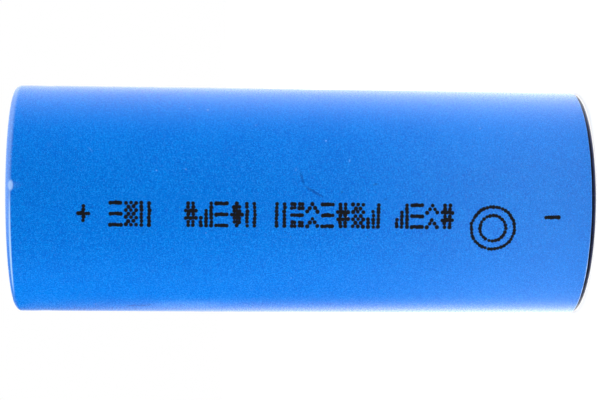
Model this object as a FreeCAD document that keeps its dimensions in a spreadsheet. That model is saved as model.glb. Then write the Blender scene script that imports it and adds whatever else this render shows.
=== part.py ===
"""Cylindrical lithium-ion cell, 26 mm across and 65 mm tall, as a parametric FreeCAD document.

The cell stands on its negative end. The origin is the centre of that end's outer face, +Z runs up
the cell's axis to the positive contact, and all sizes are in millimetres.

A deep-drawn can holds a spiral of two electrodes and two separators on a split steel pin. A bead
rolled into the can carries the header: gasket, weld plate, interrupter ring, vent disc, thermistor
and contact cap, which the can's rolled rim clamps. A paper washer and a shrunk film cover the rim.

The driving sizes are the cells of the sheet "Sizes". A formula is a text that names those cells, and
every sketch dimension is bound to one, so that a changed cell changes every piece that depends on it.
"""

import FreeCAD, Part
import Sketcher

import math
import os
import re

SIZES = [
    # The can: a drawn cup with a rolled bead and a rim rolled inwards.
    ("can_radius", 13.0, "outer radius of the can"),
    ("can_wall", 0.3, "side wall, bead and rim thickness"),
    ("can_floor", 0.4, "floor thickness"),
    ("can_corner", 0.6, "outer radius between floor and side"),
    ("rim_height", 65.0, "height of the rolled rim's top face"),
    ("rim_bend", 0.6, "inner radius of the rim's bend"),
    ("rim_reach", 2.7, "how far the rim reaches in from the can's side"),
    ("bead_depth", 1.6, "depth of the bead's groove"),
    ("bead_gap", 0.6, "half the width of the bead's groove"),
    ("bead_bend", 0.2, "inner radius of the bends at the bead's mouth"),
    # The header that closes the can, from the gasket inwards.
    ("gasket_wall", 0.5, "gasket thickness at its side, foot and lip"),
    ("gasket_foot_reach", 2.0, "how far the gasket's foot reaches in"),
    ("gasket_overhang", 0.4, "how far the gasket's lip shows inside the rim's edge"),
    ("header_clearance", 0.05, "radial gap between the gasket and the stacked discs"),
    ("cap_sheet", 0.4, "contact cap thickness"),
    ("cap_proud", 0.4, "height of the contact face above the rim"),
    ("cap_flange_reach", 3.6, "width of the cap's clamped flange"),
    ("cap_slope", 1.0, "how far the cap's riser leans in"),
    ("cap_edge", 0.3, "width of the rounded edge of the contact face"),
    ("window_count", 4, "vent windows in the cap's riser"),
    ("window_width", 2.6, "width of a vent window"),
    ("window_margin", 0.1, "metal left above the flange under a window"),
    ("window_height", 0.5, "height of a vent window"),
    ("thermistor_reach", 2.75, "width of the thermistor's rings"),
    ("thermistor_foil", 0.04, "thickness of each of the thermistor's foils"),
    ("thermistor_core", 0.22, "thickness of the thermistor's polymer"),
    ("vent_sheet", 0.3, "vent disc thickness"),
    ("vent_rim_reach", 3.75, "width of the vent disc's clamped rim"),
    ("vent_slope", 0.8, "how far the vent disc's step leans in"),
    ("vent_drop", 0.5, "depth of the vent disc's dish"),
    ("vent_nipple", 1.5, "radius of the vent disc's centre that is welded down"),
    ("nipple_slope", 0.5, "how far the nipple's side leans out"),
    ("score_inset", 1.6, "distance of the score line inside the dish's edge"),
    ("score_width", 0.15, "half the width of the score line"),
    ("score_depth", 0.15, "depth of the score line"),
    ("ring_clearance", 0.1, "radial gap between the gasket's foot and the interrupter ring"),
    ("ring_wall", 0.8, "side thickness of the interrupter ring"),
    ("ring_shelf", 0.9, "height of the shelf that parts the vent disc from the weld plate"),
    ("ring_shelf_reach", 0.7, "how far that shelf reaches in"),
    ("ring_hook", 0.4, "height of the hook that holds the weld plate up"),
    ("ring_hook_reach", 0.5, "how far that hook reaches in"),
    ("plate_clearance", 0.05, "radial gap between the ring and the weld plate"),
    ("plate_sheet", 0.5, "weld plate thickness"),
    ("plate_web", 0.12, "thickness of the weld plate's thinned centre"),
    ("plate_web_radius", 1.7, "radius of the weld plate's thinned centre"),
    ("plate_hole_radius", 0.8, "radius of a gas hole in the weld plate"),
    ("plate_hole_inset", 3.75, "distance of the gas holes inside the weld plate's edge"),
    ("plate_hole_count", 6, "gas holes in the weld plate"),
    # What covers the rim and the side.
    ("washer_sheet", 0.2, "paper washer thickness"),
    ("washer_overhang", 1.4, "how far the paper washer reaches in past the rim's edge"),
    ("film_wall", 0.1, "shrunk film thickness"),
    ("film_fold_reach", 2.5, "how far the film folds in over the washer"),
    ("film_wrap", 10, "degrees of the floor's corner that the film covers"),
    # The winding: a sheet's thickness is its foil with its coat on both sides.
    ("roll_clearance", 0.15, "least gap between the winding and the can"),
    ("separator_sheet", 0.025, "separator thickness"),
    ("anode_sheet", 0.16, "coated copper sheet thickness"),
    ("cathode_sheet", 0.145, "coated aluminium sheet thickness"),
    ("bare_foil", 0.02, "thickness of an electrode where it has no coat"),
    ("closing_sheet", 0.05, "thickness of the tape that closes the winding"),
    ("anode_inset", 0.8, "how far the anode stays inside the separators' edges"),
    ("cathode_inset", 1.4, "how far the cathode stays inside the separators' edges"),
    ("closing_inset", 6.0, "how far the closing tape stays inside the separators' edges"),
    ("anode_start", 1.0, "turn at which the anode starts"),
    ("cathode_start", 1.5, "turn at which the cathode starts"),
    # The tabs that lead the current out of the winding. A tab and its tape fill the coat's depth.
    ("tab_width", 4.0, "tab width"),
    ("tab_bend", 0.1, "least inner radius of a tab's bend beside the winding"),
    ("tab_end_inset", 4.0, "how far a tab stops short of the winding's far edge"),
    ("outer_turns", 11, "full turns of the winding outside the positive tab"),
    ("fold_inset", 1.9, "gap between the positive tab's fold and the ring's hook"),
    ("positive_return", 2.2, "distance of the positive tab's welded end short of the axis"),
    ("negative_reach", 2.5, "distance of the negative tab's welded end past the axis"),
    ("corner_clearance", 0.08, "gap between the negative tab's bend and the can's corner"),
    ("tape_sheet", 0.025, "thickness of the tape over a tab"),
    ("tape_margin", 1.0, "width of the tape beside a tab"),
    ("tape_length", 12.0, "length of the tape over a tab"),
    ("window_play", 0.2, "bare foil left beside the tape over a tab"),
    # Pieces beside the winding.
    ("insulator_sheet", 0.3, "thickness of both end insulators"),
    ("insulator_clearance", 0.1, "gap from the top insulator to the bead and to the side"),
    ("insulator_hole_radius", 1.0, "radius of the top insulator's gas holes"),
    ("insulator_hole_inset", 7.0, "distance of the gas holes inside the top insulator's edge"),
    ("insulator_hole_count", 6, "gas holes in the top insulator"),
    ("slot_play", 0.4, "gap around the positive tab in the top insulator"),
    ("edge_play", 0.4, "gap between the bottom insulator's edge and the negative tab's bend"),
    ("pin_radius", 1.7, "outer radius of the centre pin"),
    ("pin_clearance", 0.25, "least gap between the centre pin and the winding"),
    ("pin_seat", 0.4, "how far both end insulators reach in under the centre pin's edge"),
    ("pin_wall", 0.25, "wall of the centre pin"),
    ("pin_slit", 0.4, "width of the slit along the centre pin"),
    ("pin_taper", 0.8, "length of the taper at each end of the centre pin"),
    ("pin_nose", 0.2, "how far each end of the centre pin is turned in"),
    ("pin_inset", 0.8, "gap between the centre pin and the top insulator"),
]

# Radii, from the can's side inwards.
CAN_BORE = "(can_radius - can_wall)"
RIM_CORNER = "(rim_bend + can_wall)"
BEAD_CORNER = "(bead_bend + can_wall)"
BEAD_FLOOR = "(can_radius - bead_depth)"
GASKET_BORE = f"({CAN_BORE} - gasket_wall)"
GASKET_THROAT = f"({GASKET_BORE} - gasket_foot_reach)"
HEADER_RADIUS = f"({GASKET_BORE} - header_clearance)"
CAP_FOOT = f"({HEADER_RADIUS} - cap_flange_reach)"
CAP_FACE_RADIUS = f"({CAP_FOOT} - cap_slope)"
VENT_STEP = f"({HEADER_RADIUS} - vent_rim_reach)"
VENT_DISH = f"({VENT_STEP} - vent_slope)"
RING_RADIUS = f"({GASKET_THROAT} - ring_clearance)"
RING_SEAT = f"({RING_RADIUS} - ring_wall)"
RING_HOOK_BORE = f"({RING_SEAT} - ring_hook_reach)"
PLATE_RADIUS = f"({RING_SEAT} - plate_clearance)"
RIM_EDGE = "(can_radius - rim_reach)"
WASHER_RADIUS = f"(can_radius - {RIM_CORNER})"
INSULATOR_RADIUS = f"({CAN_BORE} - insulator_clearance)"
INSULATOR_BORE = "(pin_radius - pin_seat)"

# Heights of the header, from the rolled rim down to the bead.
CAP_TOP = "(rim_height + cap_proud)"
RIM_UNDER = "(rim_height - can_wall)"
FLANGE_TOP = f"({RIM_UNDER} - gasket_wall)"
FLANGE_UNDER = f"({FLANGE_TOP} - cap_sheet)"
CORE_TOP = f"({FLANGE_UNDER} - thermistor_foil)"
CORE_UNDER = f"({CORE_TOP} - thermistor_core)"
VENT_TOP = f"({CORE_UNDER} - thermistor_foil)"
VENT_UNDER = f"({VENT_TOP} - vent_sheet)"
BEAD_SHELF = f"({VENT_UNDER} - gasket_wall)"
BEAD_CENTRE = f"({BEAD_SHELF} - can_wall - bead_gap)"
PLATE_TOP = f"({VENT_UNDER} - ring_shelf)"
PLATE_UNDER = f"({PLATE_TOP} - plate_sheet)"

# Heights of the winding, between the two end insulators.
POSITIVE_TAB_SHEET = "(cathode_sheet - bare_foil - tape_sheet)"
NEGATIVE_TAB_SHEET = "(anode_sheet - bare_foil - tape_sheet)"
TAB_FLOOR_TOP = f"(can_floor + {NEGATIVE_TAB_SHEET})"
ROLL_BASE = f"({TAB_FLOOR_TOP} + insulator_sheet)"
TOP_INSULATOR_TOP = f"({BEAD_CENTRE} - bead_gap - {BEAD_CORNER} - insulator_clearance)"
ROLL_TOP = f"({TOP_INSULATOR_TOP} - insulator_sheet)"

# The winding's spiral: each full turn adds one pitch, and its half turns have two centres.
PITCH = "(2 * separator_sheet + anode_sheet + cathode_sheet)"
ANODE_LINE = "separator_sheet"
OUTER_SEPARATOR_LINE = "(separator_sheet + anode_sheet)"
CATHODE_LINE = "(2 * separator_sheet + anode_sheet)"
CORE_RADIUS = f"(pin_radius + pin_clearance + {PITCH} / 4)"
OUTER_LAYERS = f"({CATHODE_LINE} + closing_sheet - {PITCH} / 4)"
TURNS = f"floor(({CAN_BORE} - roll_clearance - {CORE_RADIUS} - {OUTER_LAYERS}) / {PITCH})"

# The tabs, which cross the winding's edges above +Y.
POSITIVE_TAB_TURN = f"({TURNS} - outer_turns)"
NEGATIVE_TAB_TURN = f"({TURNS} - 1)"
POSITIVE_TAB_FACE = f"({CORE_RADIUS} + {PITCH} * {POSITIVE_TAB_TURN} + {CATHODE_LINE} + bare_foil)"
NEGATIVE_TAB_FACE = f"({CORE_RADIUS} + {PITCH} * {NEGATIVE_TAB_TURN} + {ANODE_LINE} + bare_foil)"
TAB_CENTRE = f"(-{PITCH} / 4)"
TAB_LEFT = f"({TAB_CENTRE} - tab_width / 2)"
TAB_RIGHT = f"({TAB_CENTRE} + tab_width / 2)"
TAPE_WIDTH = "(tab_width + 2 * tape_margin)"
FLAT_FLOOR_EDGE = f"sqrt((can_radius - can_corner) ^ 2 - {TAB_LEFT} ^ 2)"
NEGATIVE_BEND = f"max(tab_bend, {NEGATIVE_TAB_FACE} - {FLAT_FLOOR_EDGE} + corner_clearance)"

doc = FreeCAD.newDocument("CylindricalCell")


def fill_sheet():
    """Writes the driving sizes into the sheet, each as a plain number with its own alias."""
    sheet = doc.addObject("Spreadsheet::Sheet", "Sizes")
    for row, (alias, value, note) in enumerate(SIZES, start=1):
        sheet.set(f"A{row}", note)
        sheet.set(f"B{row}", str(value))
        sheet.setAlias(f"B{row}", alias)
    doc.recompute()


def bound(formula):
    """Returns the formula with each size named as a cell of the sheet, for an expression."""
    return re.sub(r"[a-z]+(?:_[a-z]+)+", r"Sizes.\g<0>", formula)


def number(formula):
    """Returns the formula's present value."""
    return float(doc.Sizes.evalExpression(formula))


def origin_feature(body, role):
    """Returns the plane or axis of the body's own origin that has this role."""
    return next(part for part in body.Origin.OriginFeatures if part.Role == role)


def new_sketch(body, name, role, lift=None):
    """Adds a sketch on one of the body's origin planes, or lifted off it along its normal."""
    sketch = body.newObject("Sketcher::SketchObject", name)
    sketch.AttachmentSupport = (origin_feature(body, role), "")
    sketch.MapMode = "FlatFace"
    if lift is not None:
        sketch.setExpression("AttachmentOffset.Base.z", bound(lift))
    return sketch


def pin_down(sketch, edge, vertex, across, up):
    """Binds a vertex's place in its sketch to two formulas."""
    for kind, formula in (("DistanceX", across), ("DistanceY", up)):
        index = sketch.addConstraint(
            Sketcher.Constraint(kind, -1, 1, edge, vertex, number(formula)))
        sketch.setExpression(f"Constraints[{index}]", bound(formula))


def arc_between(start, end, bend):
    """Returns the lesser arc from start to end, which turns left if its bend is positive."""
    chord = end - start
    middle = (start + end) / 2
    height = math.sqrt(max(bend * bend - (chord.Length / 2) ** 2, 0))
    left = FreeCAD.Vector(-chord.y, chord.x, 0).normalize()
    side = 1 if bend > 0 else -1
    centre = middle + left * (height * side)
    crown = centre - left * (abs(bend) * side)
    return Part.Arc(start, crown, end)


def draw_outline(sketch, corners):
    """Draws a closed outline through corners and binds each to its formulas.

    A corner is (across, up), reached along a line, or (across, up, bend), reached along an arc of
    that radius, which turns left if the radius is positive.
    """
    spots = [FreeCAD.Vector(number(c[0]), number(c[1]), 0) for c in corners]
    ends = []
    for index, corner in enumerate(corners):
        start, end = spots[index - 1], spots[index]
        if len(corner) == 2:
            sketch.addGeometry(Part.LineSegment(start, end), False)
            ends.append((1, 2))
            continue
        bend = number(corner[2])
        sketch.addGeometry(arc_between(start, end, bend), False)
        ends.append((1, 2) if bend > 0 else (2, 1))
    for index, (first, last) in enumerate(ends):
        following = (index + 1) % len(ends)
        sketch.addConstraint(
            Sketcher.Constraint("Coincident", index, last, following, ends[following][0]))
    for index, corner in enumerate(corners):
        pin_down(sketch, index, ends[index][1], corner[0], corner[1])
        if len(corner) == 3:
            radius = f"abs({corner[2]})"
            place = sketch.addConstraint(Sketcher.Constraint("Radius", index, number(radius)))
            sketch.setExpression(f"Constraints[{place}]", bound(radius))


def draw_circle(sketch, across, up, radius):
    """Draws a circle and binds its centre and radius."""
    centre = FreeCAD.Vector(number(across), number(up), 0)
    normal = FreeCAD.Vector(0, 0, 1)
    edge = sketch.addGeometry(Part.Circle(centre, normal, number(radius)), False)
    pin_down(sketch, edge, 3, across, up)
    place = sketch.addConstraint(Sketcher.Constraint("Radius", edge, number(radius)))
    sketch.setExpression(f"Constraints[{place}]", bound(radius))


def rectangle(left, right, bottom, top):
    """Returns the corners of an upright rectangle."""
    return [(left, bottom), (right, bottom), (right, top), (left, top)]


def new_body(name):
    """Adds a sub-part, whose Label names its file."""
    body = doc.addObject("PartDesign::Body", name)
    body.Label = name
    return body


def turned(name, corners):
    """Adds a sub-part turned about the cell's axis from one closed half section."""
    body = new_body(name)
    sketch = new_sketch(body, name + "_section", "XZ_Plane")
    draw_outline(sketch, corners)
    turn = body.newObject("PartDesign::Revolution", name + "_turning")
    turn.Profile = sketch
    turn.ReferenceAxis = (sketch, ["V_Axis"])
    turn.Angle = 360
    doc.recompute()
    return body


def pad(body, sketch, name, length, centred=False):
    """Adds a pad of the sketch to the body, upwards or centred on the sketch's plane."""
    feature = body.newObject("PartDesign::Pad", name)
    feature.Profile = sketch
    feature.setExpression("Length", bound(length))
    feature.Midplane = centred
    doc.recompute()
    return feature


def cut_through(body, sketch, name, count=None):
    """Cuts the sketch right through one side of the body, and repeats the cut about its axis."""
    before = body.Shape.Volume
    pocket = body.newObject("PartDesign::Pocket", name)
    pocket.Profile = sketch
    pocket.Type = "ThroughAll"
    pocket.Midplane = sketch.AttachmentSupport[0][0].Role == "XY_Plane"
    doc.recompute()
    if count is not None:
        pattern = body.newObject("PartDesign::PolarPattern", name + "_ring")
        pattern.Originals = [pocket]
        pattern.Axis = (origin_feature(body, "Z_Axis"), [""])
        pattern.Angle = 360
        pattern.setExpression("Occurrences", bound(count))
        body.Tip = pattern
        doc.recompute()
    if body.Shape.Volume >= before:
        raise RuntimeError(f"{name} cuts nothing from {body.Label}")


def add_can():
    """The drawn steel cup: flat floor, side, bead and the rim that is rolled over the header."""
    lower_mouth = f"({BEAD_CENTRE} - bead_gap - {BEAD_CORNER})"
    upper_mouth = f"({BEAD_CENTRE} + bead_gap + {BEAD_CORNER})"
    mouth = f"(can_radius - {BEAD_CORNER})"
    throat = f"({BEAD_FLOOR} + bead_gap)"
    bead_back = f"({BEAD_FLOOR} - can_wall)"
    bead_back_radius = "(bead_gap + can_wall)"
    floor_bend = "(can_corner - can_wall)"
    turned("cell_can", [
        ("0", "0"),
        ("can_radius - can_corner", "0"),
        ("can_radius", "can_corner", "can_corner"),
        ("can_radius", lower_mouth),
        (mouth, f"{BEAD_CENTRE} - bead_gap", BEAD_CORNER),
        (throat, f"{BEAD_CENTRE} - bead_gap"),
        (BEAD_FLOOR, BEAD_CENTRE, "-bead_gap"),
        (throat, f"{BEAD_CENTRE} + bead_gap", "-bead_gap"),
        (mouth, f"{BEAD_CENTRE} + bead_gap"),
        ("can_radius", upper_mouth, BEAD_CORNER),
        ("can_radius", f"rim_height - {RIM_CORNER}"),
        (WASHER_RADIUS, "rim_height", RIM_CORNER),
        (RIM_EDGE, "rim_height"),
        (RIM_EDGE, RIM_UNDER),
        (WASHER_RADIUS, RIM_UNDER),
        (CAN_BORE, f"rim_height - {RIM_CORNER}", "-rim_bend"),
        (CAN_BORE, upper_mouth),
        (mouth, BEAD_SHELF, "-bead_bend"),
        (throat, BEAD_SHELF),
        (bead_back, BEAD_CENTRE, bead_back_radius),
        (throat, f"{BEAD_CENTRE} - {bead_back_radius}", bead_back_radius),
        (mouth, f"{BEAD_CENTRE} - {bead_back_radius}"),
        (CAN_BORE, lower_mouth, "-bead_bend"),
        (CAN_BORE, f"can_floor + {floor_bend}"),
        ("can_radius - can_corner", "can_floor", f"-{floor_bend}"),
        ("0", "can_floor"),
    ])


def add_gasket():
    """The moulded seal between the can and the header, with a foot on the bead and a rolled lip."""
    bead_mouth = f"(can_radius - {BEAD_CORNER})"
    turned("crimp_gasket", [
        (GASKET_THROAT, BEAD_SHELF),
        (bead_mouth, BEAD_SHELF),
        (CAN_BORE, f"{BEAD_SHELF} + bead_bend", "bead_bend"),
        (CAN_BORE, f"rim_height - {RIM_CORNER}"),
        (WASHER_RADIUS, RIM_UNDER, "rim_bend"),
        (f"{RIM_EDGE} - gasket_overhang", RIM_UNDER),
        (f"{RIM_EDGE} - gasket_overhang", FLANGE_TOP),
        (GASKET_BORE, FLANGE_TOP),
        (GASKET_BORE, VENT_UNDER),
        (GASKET_THROAT, VENT_UNDER),
    ])


def add_cap():
    """The positive contact: a clamped flange, a leaning riser with vent windows and a flat face."""
    body = turned("positive_cap", [
        ("0", f"{CAP_TOP} - cap_sheet"),
        (f"{CAP_FACE_RADIUS} - cap_sheet * 2 / 3", f"{CAP_TOP} - cap_sheet"),
        (f"{CAP_FOOT} - cap_sheet / 2", FLANGE_UNDER),
        (HEADER_RADIUS, FLANGE_UNDER),
        (HEADER_RADIUS, FLANGE_TOP),
        (CAP_FOOT, FLANGE_TOP),
        (CAP_FACE_RADIUS, f"{CAP_TOP} - cap_edge / 3"),
        (f"{CAP_FACE_RADIUS} - cap_edge", CAP_TOP, "cap_edge * 3 / 2"),
        ("0", CAP_TOP),
    ])
    window = new_sketch(body, "vent_window_outline", "YZ_Plane")
    sill = f"({FLANGE_TOP} + window_margin)"
    draw_outline(window, rectangle(
        "-window_width / 2", "window_width / 2", sill, f"{sill} + window_height"))
    cut_through(body, window, "vent_window", "window_count")


def add_thermistor():
    """The ring that chokes the current when it is hot: a polymer ring between two foils."""
    bore = f"({HEADER_RADIUS} - thermistor_reach)"
    layers = [
        ("thermistor_lower_foil", VENT_TOP, CORE_UNDER),
        ("thermistor_polymer", CORE_UNDER, CORE_TOP),
        ("thermistor_upper_foil", CORE_TOP, FLANGE_UNDER),
    ]
    for name, bottom, top in layers:
        turned(name, rectangle(bore, HEADER_RADIUS, bottom, top))


def add_vent_disc():
    """The scored aluminium disc that lifts off the weld plate, and then tears, under pressure."""
    dish_top = f"({VENT_TOP} - vent_drop)"
    dish_under = f"({VENT_UNDER} - vent_drop)"
    nipple_foot = "(vent_nipple + nipple_slope)"
    score_radius = f"({VENT_DISH} - score_inset)"
    turned("vent_disc", [
        ("0", PLATE_TOP),
        ("vent_nipple", PLATE_TOP),
        (nipple_foot, dish_under),
        (VENT_DISH, dish_under),
        (VENT_STEP, VENT_UNDER),
        (HEADER_RADIUS, VENT_UNDER),
        (HEADER_RADIUS, VENT_TOP),
        (VENT_STEP, VENT_TOP),
        (VENT_DISH, dish_top),
        (f"{score_radius} + score_width", dish_top),
        (score_radius, f"{dish_top} - score_depth"),
        (f"{score_radius} - score_width", dish_top),
        (nipple_foot, dish_top),
        ("vent_nipple", f"{PLATE_TOP} + vent_sheet"),
        ("0", f"{PLATE_TOP} + vent_sheet"),
    ])


def add_interrupter_ring():
    """The moulded ring that hangs the weld plate under the vent disc and insulates the two."""
    shelf = f"({RING_SEAT} - ring_shelf_reach)"
    turned("interrupter_ring", [
        (shelf, PLATE_TOP),
        (RING_SEAT, PLATE_TOP),
        (RING_SEAT, PLATE_UNDER),
        (RING_HOOK_BORE, PLATE_UNDER),
        (RING_HOOK_BORE, f"{PLATE_UNDER} - ring_hook"),
        (RING_RADIUS, f"{PLATE_UNDER} - ring_hook"),
        (RING_RADIUS, VENT_UNDER),
        (shelf, VENT_UNDER),
    ])


def add_weld_plate():
    """The aluminium disc that the positive tab is welded to, thin where the vent disc is welded."""
    body = turned("weld_plate", [
        ("0", f"{PLATE_TOP} - plate_web"),
        ("plate_web_radius", f"{PLATE_TOP} - plate_web"),
        ("plate_web_radius", PLATE_UNDER),
        (PLATE_RADIUS, PLATE_UNDER),
        (PLATE_RADIUS, PLATE_TOP),
        ("0", PLATE_TOP),
    ])
    hole = new_sketch(body, "gas_hole_outline", "XY_Plane")
    draw_circle(hole, f"{PLATE_RADIUS} - plate_hole_inset", "0", "plate_hole_radius")
    cut_through(body, hole, "gas_hole", "plate_hole_count")


def add_washer():
    """The paper washer that keeps the rim, which is negative, away from a positive contact."""
    turned("paper_washer", rectangle(
        f"{RIM_EDGE} - washer_overhang", WASHER_RADIUS,
        "rim_height", "rim_height + washer_sheet"))


def add_sleeve():
    """The shrunk film: part way round the floor's corner, up the side and over the washer."""
    outside = "(can_radius + film_wall)"
    inner_end = "(can_radius - can_corner * (1 - cos(film_wrap)))"
    outer_end = f"({inner_end} + film_wall * cos(film_wrap))"
    end_height = "(can_corner * (1 - sin(film_wrap)))"
    washer_top = "(rim_height + washer_sheet)"
    shoulder = f"({washer_top} - {RIM_CORNER})"
    fold = "(can_radius - film_fold_reach)"
    turned("shrink_sleeve", [
        (inner_end, end_height, "-can_corner"),
        (outer_end, f"{end_height} - film_wall * sin(film_wrap)"),
        (outside, "can_corner", "can_corner + film_wall"),
        (outside, shoulder),
        (WASHER_RADIUS, f"{washer_top} + film_wall", f"{RIM_CORNER} + film_wall"),
        (fold, f"{washer_top} + film_wall"),
        (fold, washer_top),
        (WASHER_RADIUS, washer_top),
        ("can_radius", shoulder, f"-{RIM_CORNER}"),
        ("can_radius", "can_corner"),
    ])


def add_top_insulator():
    """The disc between winding and header, with a slot for the positive tab and gas holes."""
    body = turned("top_insulator", rectangle(
        INSULATOR_BORE, INSULATOR_RADIUS, ROLL_TOP, TOP_INSULATOR_TOP))
    slot = new_sketch(body, "tab_slot_outline", "XY_Plane")
    outer_face = f"({POSITIVE_TAB_FACE} + {POSITIVE_TAB_SHEET})"
    draw_outline(slot, rectangle(
        f"{TAB_LEFT} - slot_play", f"{TAB_RIGHT} + slot_play",
        f"{POSITIVE_TAB_FACE} - slot_play", f"{outer_face} + slot_play"))
    cut_through(body, slot, "tab_slot")
    hole = new_sketch(body, "insulator_hole_outline", "XY_Plane")
    draw_circle(hole, f"{INSULATOR_RADIUS} - insulator_hole_inset", "0", "insulator_hole_radius")
    cut_through(body, hole, "insulator_hole", "insulator_hole_count")


def add_bottom_insulator():
    """The disc between winding and floor, which the negative tab passes outside and under."""
    turned("bottom_insulator", rectangle(
        INSULATOR_BORE, f"{NEGATIVE_TAB_FACE} - {NEGATIVE_BEND} - edge_play",
        TAB_FLOOR_TOP, ROLL_BASE))


def add_centre_pin():
    """The split steel tube in the winding's bore, turned in a little at both ends."""
    bottom = ROLL_BASE
    top = f"({ROLL_TOP} - pin_inset)"
    nose = "(pin_radius - pin_nose)"
    body = turned("centre_pin", [
        (f"{nose} - pin_wall", bottom),
        (nose, bottom),
        ("pin_radius", f"{bottom} + pin_taper"),
        ("pin_radius", f"{top} - pin_taper"),
        (nose, top),
        (f"{nose} - pin_wall", top),
        ("pin_radius - pin_wall", f"{top} - pin_taper"),
        ("pin_radius - pin_wall", f"{bottom} + pin_taper"),
    ])
    slit = new_sketch(body, "pin_slit_outline", "YZ_Plane")
    draw_outline(slit, rectangle(
        "-pin_slit / 2", "pin_slit / 2", f"{bottom} - pin_wall", f"{top} + pin_wall"))
    cut_through(body, slit, "slit")


def curved_strip(face, sheet, left, right):
    """Returns the corners of a strip's section where it follows the winding above +Y."""
    half = f"(({right} - {left}) / 2)"
    inner = f"sqrt({face} ^ 2 - {half} ^ 2)"
    outer_face = f"({face} + {sheet})"
    outer = f"sqrt({outer_face} ^ 2 - {half} ^ 2)"
    return [(right, inner), (left, inner, face), (left, outer), (right, outer, f"-{outer_face}")]


def add_tab(name, face, sheet, strip, flattening, run):
    """Adds a welded tab: curved inside the winding, flattened beside it and then bent across.

    Args:
        name: the sub-part's name.
        face: formula of the radius of the tab's inner face.
        sheet: formula of the tab's thickness.
        strip: formulas of the heights between which the tab is curved.
        flattening: formulas of the heights of the winding's edge and of the flat tab beside it.
        run: corners of the bent part's section, across +Y and up +Z.
    """
    body = new_body(name)
    curve = curved_strip(face, sheet, TAB_LEFT, TAB_RIGHT)
    bottom, top = strip
    in_winding = new_sketch(body, name + "_strip", "XY_Plane", bottom)
    draw_outline(in_winding, curve)
    pad(body, in_winding, name + "_in_winding", f"{top} - {bottom}")
    edge, flat = flattening
    curved_end = new_sketch(body, name + "_curved_end", "XY_Plane", edge)
    draw_outline(curved_end, curve)
    flat_end = new_sketch(body, name + "_flat_end", "XY_Plane", flat)
    back = f"({face} + {sheet})"
    draw_outline(flat_end, [(TAB_RIGHT, face), (TAB_LEFT, face), (TAB_LEFT, back), (TAB_RIGHT, back)])
    loft = body.newObject("PartDesign::AdditiveLoft", name + "_flattening")
    loft.Profile = curved_end
    loft.Sections = [flat_end]
    loft.Ruled = True
    doc.recompute()
    bent = new_sketch(body, name + "_run", "YZ_Plane", TAB_CENTRE)
    draw_outline(bent, run)
    pad(body, bent, name + "_bent_run", "tab_width", centred=True)


def add_positive_tab():
    """The aluminium tab: up through the top insulator, across, and folded back to the weld plate."""
    inner, outer = POSITIVE_TAB_FACE, f"({POSITIVE_TAB_FACE} + {POSITIVE_TAB_SHEET})"
    run_under = f"({TOP_INSULATOR_TOP} + tab_bend)"
    run_top = f"({run_under} + {POSITIVE_TAB_SHEET})"
    weld_under = f"({PLATE_UNDER} - {POSITIVE_TAB_SHEET})"
    fold_bend = f"(({weld_under} - {run_top}) / 2)"
    outer_fold = f"({fold_bend} + {POSITIVE_TAB_SHEET})"
    fold_middle = f"({run_top} + {fold_bend})"
    fold = f"({RING_HOOK_BORE} - fold_inset - {outer_fold})"
    run = [
        (outer, TOP_INSULATOR_TOP),
        (f"{inner} - tab_bend", run_top, f"tab_bend + {POSITIVE_TAB_SHEET}"),
        (f"-{fold}", run_top),
        (f"-{fold} - {fold_bend}", fold_middle, f"-{fold_bend}"),
        (f"-{fold}", weld_under, f"-{fold_bend}"),
        ("-positive_return", weld_under),
        ("-positive_return", PLATE_UNDER),
        (f"-{fold}", PLATE_UNDER),
        (f"-{fold} - {outer_fold}", fold_middle, outer_fold),
        (f"-{fold}", run_under, outer_fold),
        (f"{inner} - tab_bend", run_under),
        (inner, TOP_INSULATOR_TOP, "-tab_bend"),
    ]
    strip = (f"({ROLL_BASE} + tab_end_inset)", ROLL_TOP)
    add_tab("positive_tab", inner, POSITIVE_TAB_SHEET, strip, (ROLL_TOP, TOP_INSULATOR_TOP), run)


def add_negative_tab():
    """The nickel tab: down past the bottom insulator's edge and in under it, along the floor."""
    inner, outer = NEGATIVE_TAB_FACE, f"({NEGATIVE_TAB_FACE} + {NEGATIVE_TAB_SHEET})"
    flat = f"({TAB_FLOOR_TOP} + {NEGATIVE_BEND})"
    run = [
        (inner, flat),
        (f"{inner} - {NEGATIVE_BEND}", TAB_FLOOR_TOP, f"-{NEGATIVE_BEND}"),
        ("-negative_reach", TAB_FLOOR_TOP),
        ("-negative_reach", "can_floor"),
        (f"{inner} - {NEGATIVE_BEND}", "can_floor"),
        (outer, flat, f"{NEGATIVE_BEND} + {NEGATIVE_TAB_SHEET}"),
    ]
    strip = (ROLL_BASE, f"({ROLL_TOP} - tab_end_inset)")
    add_tab("negative_tab", inner, NEGATIVE_TAB_SHEET, strip, (ROLL_BASE, flat), run)


def add_tab_tapes():
    """The tapes that cover the tabs where they cross the winding's edges."""
    left, right = f"({TAB_LEFT} - tape_margin)", f"({TAB_RIGHT} + tape_margin)"
    tapes = [
        ("positive_tab_tape", f"({POSITIVE_TAB_FACE} + {POSITIVE_TAB_SHEET})",
         f"({ROLL_TOP} - tape_length)"),
        ("negative_tab_tape", f"({NEGATIVE_TAB_FACE} + {NEGATIVE_TAB_SHEET})", ROLL_BASE),
    ]
    for name, face, foot in tapes:
        body = new_body(name)
        sketch = new_sketch(body, name + "_section", "XY_Plane", foot)
        draw_outline(sketch, curved_strip(face, "tape_sheet", left, right))
        pad(body, sketch, name + "_pad", "tape_length")


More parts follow.
